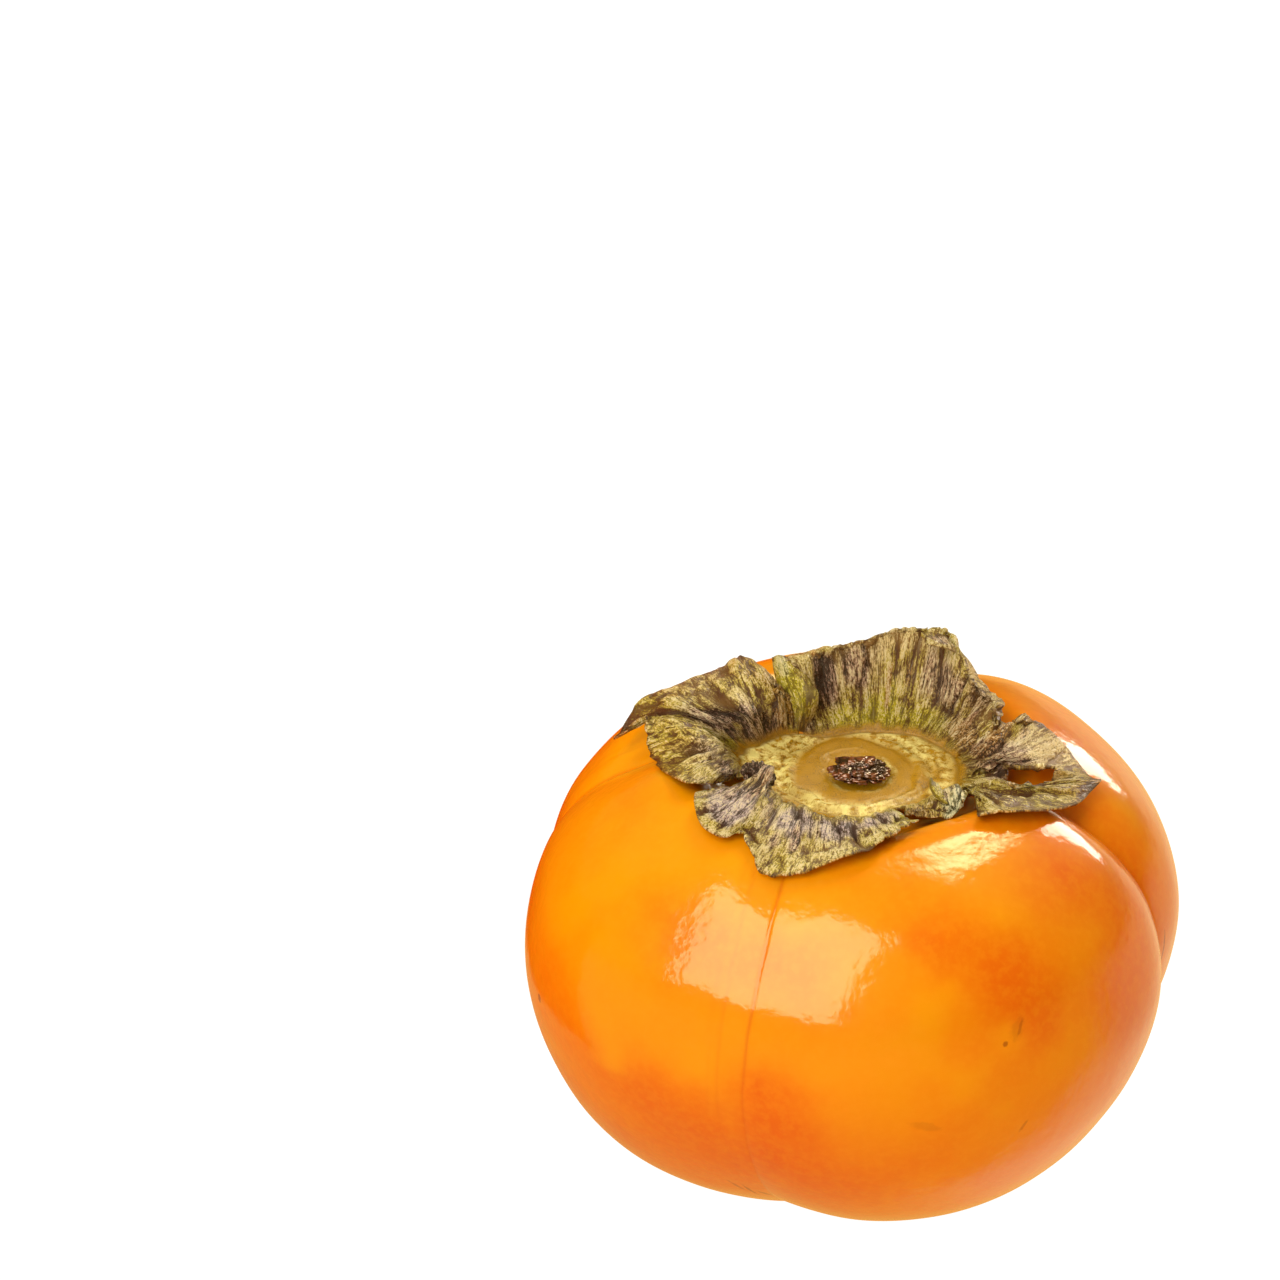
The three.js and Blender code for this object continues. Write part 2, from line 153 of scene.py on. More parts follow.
SLIVER = [
    [[44, 16.3, 5.1], [44, 15.4, 5.8], [44, 14.2, 6.5], [44, 13.1, 6.8]],
    [[42, 16.5, 5.1], [40, 15.7, 6.1], [40, 14.3, 6.8], [44, 13, 6.9]],
    [[41, 16.4, 5.1], [38, 15.3, 5.8], [39, 13.7, 6.5], [44, 12.7, 6.8]],
]
BROWN_CURL = [
    [[97, 20.4, 6.6], [94, 20.7, 7.7], [96, 21.3, 7.6], [97, 21.7, 7.2]],
    [[98, 19.7, 6.8], [94, 20, 8.2], [96, 20.7, 8.4], [97, 21.1, 8]],
    [[98, 19, 6.8], [97, 19.2, 7.8], [97, 19.8, 8.4], [99, 20.6, 8.2]],
]
EDGE_CURL = [
    [[151, 15.7, 12.7], [146, 14.4, 13.4], [143, 13.7, 13.5], [142, 13.2, 13.2]],
    [[148, 16.7, 12.6], [142, 14.8, 13.6], [137, 14, 13.8], [135, 13.5, 13.4]],
    [[144, 17.5, 12.4], [138, 15.7, 13.5], [132, 14.7, 13.7], [130, 14.4, 13.2]],
    [[142, 18.4, 11.8], [135, 16.6, 12.8], [131, 15.9, 12.8], [131, 15.8, 12]],
]


# ---- curves and noise

def ease(start, end, x):
    """0 at start and before, 1 at end and after, with an eased climb between."""
    s = np.clip((x - start) / (end - start), 0, 1)
    return s * s * (3 - 2 * s)


def hill(x, rise_from, rise_to, fall_from, fall_to):
    """1 between rise and fall, easing to 0 outside them."""
    return ease(rise_from, rise_to, x) * (1 - ease(fall_from, fall_to, x))


def span_weights(fraction):
    """Catmull-Rom weights of the four points round a span."""
    f = fraction
    return np.stack([
        -f + 2 * f**2 - f**3,
        2 - 5 * f**2 + 3 * f**3,
        f + 4 * f**2 - 3 * f**3,
        -f**2 + f**3,
    ], -1) / 2


def curve_weights(count, place):
    """Weights of count points at places along a Catmull-Rom curve whose ends run straight on."""
    first = np.clip(place.astype(int), 0, count - 2)
    padded = np.zeros(place.shape + (count + 2,))
    index = first[..., None] + np.arange(4)
    np.put_along_axis(padded, index, span_weights(place - first), -1)
    weights = padded[..., 1:-1].copy()
    weights[..., :2] += padded[..., :1] * [2, -1]
    weights[..., -2:] += padded[..., -1:] * [-1, 2]
    return weights


LATTICE_PRIMES = (73856093, 19349663, 83492791)


def lattice_value(corner, seed):
    """A fixed number from -1 to 1 for each corner of the noise lattice."""
    x, y, z = np.moveaxis(corner * LATTICE_PRIMES, -1, 0)
    h = x ^ y ^ z ^ (seed * 7919 + 17)
    h = (h ^ (h >> 13)) * 1274126177
    h = h ^ (h >> 16)
    return (h & 0xFFFF) / 32767.5 - 1


def noise(points, seed):
    """Smooth value noise from about -1 to 1 at points (..., 3)."""
    cell = np.floor(points).astype(np.int64)
    f = points - cell
    f = f * f * f * (f * (f * 6 - 15) + 10)
    total = 0
    for corner in np.ndindex(2, 2, 2):
        share = np.where(corner, f, 1 - f).prod(axis=-1)
        total = total + share * lattice_value(cell + corner, seed)
    return total


def rough(points, seed, octaves):
    """Noise with finer noise laid over it."""
    return sum(noise(points * 2**i, seed + i) / 2**i for i in range(octaves))


def ridged(points, seed, octaves):
    """Sharp creases: 1 along wandering lines, falling to 0 between them."""
    return sum((1 - 2 * np.abs(noise(points * 2**i, seed + i))).clip(0, 1) / 2**i for i in range(octaves))


# ---- meshes

def place_around(turn, distance, height):
    """Points at a turn about the upright axis, a distance from it and a height."""
    a = np.radians(turn)
    x = AXIS[0] + distance * np.sin(a)
    y = AXIS[1] - distance * np.cos(a)
    return np.stack([x, y, height + 0 * x], -1)


def grid_quads(rows, columns, closed):
    """Quads of a grid whose rows go round if it is closed."""
    i = np.arange(rows - 1)[:, None]
    j = np.arange(columns if closed else columns - 1)
    k = (j + 1) % columns
    a, b = i * columns + j, i * columns + k
    return np.stack([a, b, b + columns, a + columns], -1).reshape(-1, 4)


def ball_faces(rows, columns):
    """Faces of a grid that goes round, closed by a fan to the bottom and the top point, which follow it."""
    faces = grid_quads(rows, columns, True).tolist()
    bottom, top = rows * columns, rows * columns + 1
    last = (rows - 1) * columns
    for j in range(columns):
        k = (j + 1) % columns
        faces.append([bottom, k, j])
        faces.append([top, last + j, last + k])
    return faces


def new_object(name, data):
    """An object in the scene that holds the data."""
    thing = bpy.data.objects.new(name, data)
    bpy.context.scene.collection.objects.link(thing)
    return thing


def add_mesh(name, points, faces, material):
    """A mesh object in metres, from points in millimetres."""
    mesh = bpy.data.meshes.new(name)
    mesh.from_pydata((points * MM).tolist(), [], [list(map(int, face)) for face in faces])
    mesh.materials.append(material)
    return new_object(name, mesh)


def add_piece(name, points, faces, material, node, attributes):
    """A smooth piece that stands for a node of the solids."""
    piece = add_mesh(name, points, faces, material)
    mesh = piece.data
    for key, values in attributes.items():
        kind, field = ("FLOAT", "value") if values.ndim == 1 else ("FLOAT_VECTOR", "vector")
        attribute = mesh.attributes.new(key, kind, "POINT")
        attribute.data.foreach_set(field, values.astype(np.float32).ravel())
    mesh.polygons.foreach_set("use_smooth", [True] * len(mesh.polygons))
    mesh.update()
    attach(piece, "root")
    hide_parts(node)


# ---- materials

def new_material(name, **inputs):
    """A material with its shader's own inputs set, each named with _ for a space."""
    material = bpy.data.materials.new(name)
    material.use_nodes = True
    shader = material.node_tree.nodes["Principled BSDF"]
    for key, value in inputs.items():
        shader.inputs[key.replace("_", " ")].default_value = value
    return material


class Graph:
    """Short calls for building a shader graph."""

    def __init__(self, owner, shader="Principled BSDF"):
        self.tree = owner.node_tree
        self.shader = self.tree.nodes[shader]
        self.position = self.node("ShaderNodeTexCoord").outputs["Object"]

    def node(self, kind, inputs=None, **settings):
        """A new node with its settings made and its inputs fed, each by its name or number."""
        node = self.tree.nodes.new(kind)
        for key, value in settings.items():
            setattr(node, key, value)
        for key, value in (inputs or {}).items():
            self.feed(node.inputs[key], value)
        return node

    def feed(self, socket, value):
        """Link a socket, or set a number or a colour."""
        if isinstance(value, bpy.types.NodeSocket):
            self.tree.links.new(value, socket)
        elif socket.type == "RGBA":
            socket.default_value = (*value, 1)
        else:
            socket.default_value = value

    def drive(self, name, value):
        """Feed an input of the shader itself."""
        self.feed(self.shader.inputs[name], value)

    def attribute(self, name, output="Fac"):
        return self.node("ShaderNodeAttribute", attribute_name=name).outputs[output]

    def noise(self, scale, detail, roughness=0.55, stretch=(1, 1, 1), warp=0, at=None):
        mapping = self.node("ShaderNodeMapping", {"Vector": at or self.position, "Scale": stretch})
        inputs = {"Vector": mapping.outputs["Vector"], "Scale": scale, "Detail": detail,
                  "Roughness": roughness, "Distortion": warp}
        return self.node("ShaderNodeTexNoise", inputs).outputs["Fac"]

    def ramp(self, value, start, end, low=0, high=1):
        """From low at start to high at end, eased, and level outside them."""
        inputs = {"Value": value, "From Min": start, "From Max": end, "To Min": low, "To Max": high}
        return self.node("ShaderNodeMapRange", inputs, interpolation_type="SMOOTHSTEP").outputs["Result"]

    def mix(self, share, first, second):
        inputs = {"Factor": share, "A": first, "B": second}
        return self.node("ShaderNodeMix", inputs, data_type="RGBA").outputs["Result"]

    def math(self, operation, first, second=0):
        return self.node("ShaderNodeMath", {0: first, 1: second}, operation=operation).outputs[0]

    def plus(self, first, second):
        return self.math("ADD", first, second)

    def times(self, first, second):
        return self.math("MULTIPLY", first, second)

    def dot(self, vector, direction):
        node = self.node("ShaderNodeVectorMath", {0: vector, 1: direction}, operation="DOT_PRODUCT")
        return node.outputs["Value"]

    def thin_lines(self, value, width):
        """0 along the lines where a noise passes its middle, 1 away from them."""
        return self.ramp(self.math("ABSOLUTE", self.math("SUBTRACT", value, 0.5)), 0, width)

    def distance_in_skin(self, turn, height, half_width, half_length, lean):
        """Distance from a mark on the skin, counted in its own half width and half length."""
        inputs = {
            "Vector": self.position,
            "Location": place_around(turn, outline_distance(height), height) * MM,
            "Rotation": (0, np.radians(lean), np.radians(turn)),
            "Scale": np.array([half_width, MARK_DEPTH, half_length]) * MM,
        }
        place = self.node("ShaderNodeMapping", inputs, vector_type="TEXTURE").outputs["Vector"]
        return self.node("ShaderNodeVectorMath", {0: place}, operation="LENGTH").outputs["Value"]

    def bump(self, height, distance, strength=1, after=None):
        inputs = {"Distance": distance, "Strength": strength, "Height": height}
        if after is not None:
            inputs["Normal"] = after
        return self.node("ShaderNodeBump", inputs).outputs["Normal"]


# Marks in the skin: turn and height of the middle, half width and half length in mm,
# lean in degrees and strength.
SKIN_MARKS = [
    (29.8, 42.1, 0.3, 1.3, 25, 0.4), (29.2, 42, 1.1, 2, 25, 0.2), (26.8, 40.6, 0.45, 0.45, 0, 0.7),
    (13, 31.1, 2.4, 0.8, 20, 0.18), (30.8, 28, 0.35, 1.2, 30, 0.4), (-64, 32.9, 0.6, 0.8, 0, 0.9),
    (-24.4, 13.4, 1.8, 0.35, 60, 0.6), (-22, 12.4, 2.4, 0.3, 75, 0.8), (-19, 11.7, 1.4, 0.4, 50, 0.7),
    (82.1, 33.3, 0.3, 3, 5, 0.8), (80, 29, 0.3, 2, 0, 0.7), (140, 30, 0.5, 0.9, 0, 0.8),
    (205, 38, 0.4, 1.6, 30, 0.5), (250, 25, 0.6, 0.6, 0, 0.8),
]
MARK_DEPTH = 5


def skin_material():
    """Waxy skin in patches of orange, with fine freckles, scars and a thin clear coat."""
    material = new_material("persimmon_skin", Roughness=0.45, Specular_IOR_Level=0.08,
                            Subsurface_Weight=0.12, Subsurface_Radius=(1, 0.35, 0.05),
                            Subsurface_Scale=0.003, Coat_Weight=1, Coat_Roughness=0.13, Coat_IOR=1.6)
    g = Graph(material)
    broad = g.noise(45, 3, 0.6, stretch=(1, 1, 0.7))
    streaks = g.noise(160, 3, stretch=(1, 1, 0.2))
    freckles = g.noise(900, 2, 0.6)
    orange = g.mix(g.ramp(broad, 0.38, 0.64), (0.83, 0.175, 0), (0.87, 0.235, 0))
    orange = g.mix(g.ramp(streaks, 0.5, 0.75, 0, 0.45), orange, (0.9, 0.31, 0))
    # Deeper and more golden patches: partly the skin's own tones, partly painted shade and painted light.
    orange = g.mix(g.attribute("deep_tone_and_shade"), orange, (0.78, 0.125, 0))
    orange = g.mix(g.attribute("golden_tone_and_light"), orange, (0.89, 0.33, 0))
    orange = g.mix(g.ramp(freckles, 0.35, 0.75, 0, 0.25), orange, (0.92, 0.34, 0.01))
    orange = g.mix(g.attribute("seam"), orange, (0.68, 0.1, 0))
    ragged = g.times(g.noise(1500, 2, 0.6), 0.9)
    for *mark, strength in SKIN_MARKS:
        away = g.plus(g.distance_in_skin(*mark), ragged)
        orange = g.mix(g.ramp(away, 0.9, 1.5, strength, 0), orange, (0.3, 0.045, 0))
    orange = g.mix(g.ramp(g.attribute("scar"), 0.1, 0.6), orange, (0.04, 0.012, 0.004))
    g.drive("Base Color", orange)
    g.drive("Normal", g.bump(g.noise(160, 3, 0.5), 0.00012, 0.5))
    waves = g.bump(g.noise(420, 2, 0.5), 0.00009)
    g.drive("Coat Normal", g.bump(g.noise(1000, 2, 0.6), 0.00003, after=waves))
    return material


# Colours of the dried calyx, each as a pair: a darker one for the creases of its wrinkles, which is painted
# shade, and a lighter one for their ridges, which is painted light.
OLIVE = ((0.11, 0.026, 0.003), (0.72, 0.54, 0.11))
PAINTS = {
    # Pale: the blades' own tan, and painted light where it lies along crests.
    "pale_and_lit": ((0.3, 0.15, 0.045), (1, 0.79, 0.56)),
    "green": ((0.22, 0.14, 0.001), (0.8, 0.66, 0.012)),
    "mint": ((0.05, 0.04, 0.01), (0.84, 0.8, 0.75)),
    "mauve": ((0.05, 0.012, 0.02), (0.72, 0.54, 0.8)),
    # Dark: the blades' own purple-brown, and painted shade where it lies in troughs and folds.
    "dark_and_shade": ((0.03, 0.004, 0.004), (0.6, 0.36, 0.38)),
    "brown": ((0.05, 0.01, 0.001), (0.56, 0.24, 0.05)),
    "disc": ((0.19, 0.085, 0), (0.49, 0.235, 0)),
    "cream_and_glints": ((0.62, 0.36, 0.07), (1, 0.86, 0.46)),
}
# Painted glint: a near-white colour laid on the highest relief of the blades.
PAINTED_GLINT_COLOUR = (1, 0.85, 0.78)


def calyx_material():
    """Blades creased along their ribs and a glossy disc, each colour laid on by an attribute."""
    material = new_material("dried_calyx", Roughness=0.4, Specular_IOR_Level=1, Coat_Weight=0.5,
                            Specular_Tint=(1, 0.85, 0.95, 1), Coat_Roughness=0.2, Coat_IOR=1.6)
    g = Graph(material)
    blade = g.attribute("blade", "Vector")
    disc = g.attribute("disc")
    long_lines = g.thin_lines(g.noise(1, 1, 0.5, stretch=(0.8, 0.13, 1), warp=0.4, at=blade), 0.05)
    short_lines = g.thin_lines(g.noise(1, 1, 0.5, stretch=(2, 0.6, 1), warp=0.6, at=blade), 0.12)
    grain = g.noise(1, 3, 0.65, stretch=(6.2, 3.6, 1), warp=0.5, at=blade)
    fibres = g.noise(1, 2, 0.6, stretch=(6, 0.7, 1), warp=0.3, at=blade)
    lines = g.plus(g.times(long_lines, 0.14), g.times(short_lines, 0.1))
    lines = g.plus(lines, g.times(g.math("SUBTRACT", fibres, 0.5), 0.5))
    on_blade = g.math("SUBTRACT", 1, disc)
    relief = g.plus(g.times(lines, on_blade), g.times(grain, 0.75))
    relief = g.plus(relief, g.times(disc, 0.24))
    # Darker where the relief sinks and lighter where it rises: painted shade in the creases and painted light
    # on the ridges, over the calyx's own fibrous streaks.
    height = g.plus(g.times(g.attribute("ridge"), 0.34), relief)
    groove, ridge = OLIVE
    for key, (shaded_in_groove, lit_on_ridge) in PAINTS.items():
        share = g.attribute(key)
        # The cream zones are broken into fine specks: the disc's own pale patches with painted sparkle.
        if key == "cream_and_glints":
            share = g.times(share, g.ramp(g.noise(1200, 3, 0.6), 0.34, 0.54))
        groove = g.mix(share, groove, shaded_in_groove)
        ridge = g.mix(share, ridge, lit_on_ridge)
    colour = g.mix(g.ramp(height, 0.67, 0.92), groove, ridge)
    # Painted glints on the highest relief, faint on the disc.
    painted_glints = g.times(g.ramp(height, 0.85, 0.99), g.ramp(disc, 0, 1, 0.8, 0))
    g.drive("Base Color", g.mix(painted_glints, colour, PAINTED_GLINT_COLOUR))
    gloss = g.math("MAXIMUM", disc, g.attribute("dark_and_shade"))
    g.drive("Roughness", g.ramp(gloss, 0, 1, 0.34, 0.22))
    normal = g.bump(g.times(relief, g.ramp(disc, 0, 1, 1, 0.3)), 0.0005)
    g.drive("Normal", normal)
    g.drive("Coat Normal", normal)
    return material


def stub_material():
    """Dark shrunken wood with a wet shine."""
    material = new_material("dark_stem", Roughness=0.16, IOR=1.8, Specular_IOR_Level=0.9,
                            Specular_Tint=(1, 0.74, 0.9, 1))
    g = Graph(material)
    relief = g.plus(g.attribute("ridge"), g.noise(900, 3))
    # Black in the creases of the folds and red-brown on their ridges: partly its own colour, partly painted
    # shade in the creases and painted light on the ridges.
    colour = g.mix(g.ramp(relief, 0.85, 1.5), (0.014, 0.003, 0.002), (0.2, 0.05, 0.025))
    g.drive("Base Color", colour)
    g.drive("Normal", g.bump(g.noise(700, 2, 0.5), 0.0003))
    return material


# ---- fruit

def turn_from(turn, start):
    """Degrees from a start on to a turn, from 0 to 360."""
    return (turn - start) % 360


def turn_past(turn, middle):
    """Degrees by which a turn is past a middle one, from -180 to 180."""
    return turn_from(turn + 180, middle) - 180


def outline_at(place):
    """The plain outline at places along PROFILE, as (distance from the axis, height)."""
    mirror = np.array([-1, 1])
    padded = np.vstack([PROFILE[1] * mirror, PROFILE, PROFILE[-2] * mirror])
    first = np.clip(place.astype(int), 0, LAST_PLACE - 1)
    weights = span_weights(place - first)
    points = padded[first[:, None] + np.arange(4)]
    return np.einsum("nk,nkd->nd", weights, points) * [EQUATOR_RADIUS, SHOULDER_HEIGHT]


def outline_distance(height):
    """Distance of the side of the fruit from the axis at a height."""
    side = outline_at(np.linspace(3, 12, 181))
    return np.interp(height, side[:, 1], side[:, 0])


def outline_normals(place):
    """Unit normals of the plain outline, pointing outwards."""
    step = 0.01
    ahead = outline_at(np.minimum(place + step, LAST_PLACE))
    d = ahead - outline_at(np.maximum(place - step, 0))
    n = np.stack([d[:, 1], -d[:, 0]], 1)
    return n / np.linalg.norm(n, axis=1)[:, None]


def sunk_depth(place, turn):
    """Depth of the grooves less the swell of the lobes, on a grid of places by turns."""
    place = place[:, None]
    base = hill(place, 1.5, 4, 5, 8)
    waist = hill(place, 4.5, 7.5, 8.5, 11)
    shoulder = hill(place, 8.5, 11, 12.5, 14.5)
    side = hill(place, 2.5, 6.5, 9, 13.5)
    inner = hill(place, 11.5, 13.2, 13.8, 15)
    depth = np.zeros((len(place), len(turn)))
    for i, (groove, width, at_base, at_waist, at_shoulder) in enumerate(GROOVES):
        across = turn_past(turn, groove)
        section = 0.6 * np.exp(-(across / width)**2) + 0.4 * np.exp(-np.abs(across) / (0.3 * width))
        depth += (at_base * base + at_waist * waist + at_shoulder * shoulder) * section
        share = turn_from(turn, groove) / turn_from(GROOVES[(i + 1) % len(GROOVES)][0], groove)
        middle = np.where(share < 1, np.sin(np.pi * share)**2, 0)
        depth -= (LOBE_SWELL[i] * side + SHOULDER_SWELL[i] * inner) * middle
    return depth


CROWDING = 0.7


def column_turns(per_lobe):
    """Turns that crowd towards each groove, with one in it."""
    turns = []
    even = np.arange(per_lobe) / per_lobe
    for i, (groove, *_) in enumerate(GROOVES):
        span = turn_from(GROOVES[(i + 1) % len(GROOVES)][0], groove)
        turns.append(groove + span * (even - CROWDING * np.sin(2 * np.pi * even) / (2 * np.pi)))
    return np.concatenate(turns)


# Fine suture lines in each groove: gap from the groove in mm and strength.
SEAM_LINES = [(0, 1), (3.5, 0.4), (4.8, 0.2)]
SEAM_DEPTH = 0.06
SEAM_WIDTH = 0.22


def seams(place, turn, distance):
    """Suture lines at the bottom of the grooves, with fainter ones beside them that close in below."""
    place = place[:, None]
    total = np.zeros((len(place), len(turn)))
    along = hill(place, 2.5, 5, 11.5, 13.5) * (0.5 + 0.5 * ease(7, 9, place))
    spread = 0.5 + 0.5 * ease(4, 9, place)
    for groove, *_ in GROOVES:
        wander = 0.2 * np.sin(place * 1.7 + groove) + 0.04 * np.sin(place * 7.3)
        across = np.radians(turn_past(turn, groove)) * distance + wander
        for gap, strength in SEAM_LINES:
            total += along * strength * np.exp(-((across + gap * spread) / SEAM_WIDTH)**2)
    return total


# Soft patches on the skin: turn, height, half width and half height in mm, strength.
# Deep patches: partly the skin's own deeper orange, partly painted shade, mostly on the right side and lower
# down.
DEEP_TONE_AND_SHADE_PATCHES = [
    (33, 43, 6, 5, 0.9), (27, 51, 7, 4, 0.6), (38, 50, 6, 4, 0.4), (-36, 28, 8, 4.5, 0.7),
    (-22, 26, 6, 3, 0.3), (-30, 20, 7, 4, 0.4), (-8, 30, 3, 2, 0.5), (-9, 22, 9, 5, 0.4),
    (50, 42, 6, 6, 0.8), (62, 36, 7, 9, 0.6), (-75, 26, 8, 6, 0.4), (120, 30, 12, 10, 0.6),
    (200, 25, 14, 9, 0.6), (235, 38, 9, 9, 0.5),
]
# Golden patches: partly the skin's own yellower orange, partly painted light, mostly on upper parts and under
# the highlights.
GOLDEN_TONE_AND_LIGHT_PATCHES = [
    (-24, 41, 19, 5, 1.3), (-48, 43, 9, 6, 0.3), (3, 42, 6, 5, 0.6), (5, 32, 6, 7, 0.8),
    (-28, 37, 4, 2, 0.4), (-6, 38.5, 3.5, 2, 0.6), (15, 34, 6, 5, 0.5), (28, 29, 6, 5, 0.4),
    (40, 34, 5, 4, 0.3), (-64, 50, 10, 8, 0.6), (-50, 55, 9, 4, 0.7), (-70, 36, 6, 8, 0.4),
    (45, 48, 5, 4, 0.5), (5, 48, 7, 3, 0.6), (-15, 55, 14, 4, 0.7), (30, 55.5, 10, 3, 0.7),
    (-92, 50, 12, 7, 1.5), (205, 54, 18, 6, 1.2), (150, 40, 9, 8, 0.5), (215, 45, 12, 8, 0.6),
    (100, 45, 7, 7, 0.5),
]


def patches(table, turn, distance, height, warp):
    """Sum of soft blobs at places on the skin, with wandering edges."""
    total = np.zeros_like(height)
    for at_turn, at_height, wide, tall, strength in table:
        across = np.radians(turn_past(turn, at_turn)) * distance / wide
        up = (height - at_height) / tall
        total += strength * np.exp(-(across**2 + up**2) * (1 + 0.8 * warp))
    return 1 - np.exp(-1.3 * total.clip(0, None))


# The dried tip of the flower at the blossom end.
SCAR_RADIUS = 1.4
SCAR_RISE = 0.7

COLUMNS_PER_LOBE, ROWS_PER_SPAN = ((92, 15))


def make_fruit():
    """The skin: the plain outline turned round the axis, then swollen, grooved, dented and seamed."""
    turn = column_turns(COLUMNS_PER_LOBE)
    place = np.linspace(0, LAST_PLACE, LAST_PLACE * ROWS_PER_SPAN + 1)[1:-1]
    radius, level = np.split(outline_at(place), 2, axis=1)
    outwards, upwards = np.split(outline_normals(place), 2, axis=1)
    plain = place_around(turn, radius, level)
    lifted = ease(2, 14, level)
    dents = lifted * (0.3 * noise(plain / 17, 3) + 0.1 * noise(plain / 7, 4))
    seam = seams(place, turn, radius) * lifted
    scar = np.exp(-((radius + 0 * turn) / SCAR_RADIUS)**2) * (place < 3)[:, None]
    depth = sunk_depth(place, turn) + dents + SEAM_DEPTH * seam - SCAR_RISE * scar
    distance = radius - outwards * depth
    height = np.maximum(level - upwards * depth, 0)
    skin = place_around(turn, distance, height)
    poles = place_around(np.zeros(2), np.zeros(2), outline_at(np.array([0, LAST_PLACE]))[:, 1])
    poles[0, 2] -= SCAR_RISE
    points = np.vstack([skin.reshape(-1, 3), poles])
    warp = rough(plain / 9, 21, 3)
    values = {
        "deep_tone_and_shade": patches(DEEP_TONE_AND_SHADE_PATCHES, turn, distance, height, warp),
        "golden_tone_and_light": patches(GOLDEN_TONE_AND_LIGHT_PATCHES, turn, distance, height, -warp),
        "seam": (0.5 * seam).clip(0, 1),
        "scar": scar,
    }
    attributes = {key: np.append(value.ravel(), [key == "scar", 0]) for key, value in values.items()}
    faces = ball_faces(*height.shape)
    add_piece("persimmon_fruit", points, faces, skin_material(), "fruit", attributes)


# ---- calyx

BLADES = {"front": FRONT_SEPAL, "torn": TORN_SEPAL, "right": RIGHT_SEPAL, "back": BACK_SEPAL,
          "left": LEFT_SEPAL}
LOOSE_BLADES = {"rolled": ROLLED_LOBE, "sliver": SLIVER, "brown_curl": BROWN_CURL, "edge_curl": EDGE_CURL}
COLUMNS_PER_MM = 3.5
BLADE_ROWS = 44
DISC_RINGS = 26
# Rings nearest the rim that have as many points as the rim. The others have half as many.
RIM_RINGS = 5
# Share of the wrinkles' depth that a loose blade has.
LOOSE_LIFT = 0.4
MIDDLE_THICKNESS = 0.55
EDGE_THINNING = 0.3

# Notches in a free edge: rib number, half width and depth in mm. A spike has a depth below 0.
NOTCHES = {
    "front": [(4.1, 0.4, 1.3), (3.7, 0.3, 0.5), (5.2, 0.35, 0.5), (9.6, 0.3, 0.7), (10.3, 0.25, 0.9),
              (10.7, 0.2, 0.6)],
    "torn": [(2.5, 0.3, 0.5), (3.8, 0.3, 0.6)],
    "right": [(1.15, 0.35, 0.9), (0.6, 0.3, 0.4), (4, 1, -0.8), (8, 2.5, -0.9)],
    "back": [(1.3, 0.4, 0.8), (2.75, 0.6, 1.5), (2.1, 0.3, 0.6), (7.4, 0.3, 0.5), (6.2, 0.25, 0.4)],
    "left": [(7, 0.35, 1.3), (2, 0.6, -1.1), (2.6, 0.4, 0.5), (9, 0.3, 0.4), (6.1, 0.5, -0.8)],
}
# Hollows and humps of a blade: rib number, share along it, half width, half length and rise in mm.
DENTS = {
    "front": [(2.2, 0.28, 1.2, 1.8, 1.1), (3.5, 0.33, 0.5, 2.8, -1.1), (5, 0.55, 0.3, 2.2, -0.5),
              (6.2, 0.42, 0.3, 2.2, -0.5), (7.6, 0.35, 0.3, 2, -0.5)],
    "right": [(3.7, 0.5, 0.7, 3.2, 0.5), (8.2, 0.45, 0.7, 3, -0.7), (7.3, 0.45, 0.7, 3, 0.5),
              (9.2, 0.5, 0.6, 3, 0.5)],
    "back": [(3.2, 0.86, 2.2, 0.6, -1.2), (4.7, 0.62, 0.25, 4.5, -0.4), (4.2, 0.7, 0.25, 2.5, -0.35),
             (1.1, 0.5, 0.6, 4, -0.6), (7, 0.5, 0.5, 4, -0.5), (6.2, 0.55, 0.4, 3, -0.4)],
    "left": [(7, 0.45, 0.6, 5, -1.5), (7.6, 0.45, 0.6, 5, 0.9), (4.5, 0.5, 0.4, 4, -0.5),
             (3.2, 0.45, 0.4, 4, -0.5), (9.6, 0.4, 0.4, 3, -0.5)],
    "rolled": [(2, 0.5, 0.8, 4, 0.35)],
}
# A hole in a blade: rib number and share along of its middle, half width in ribs and half length.
HOLES = {"right": (4.75, 0.6, 0.55, 0.18)}
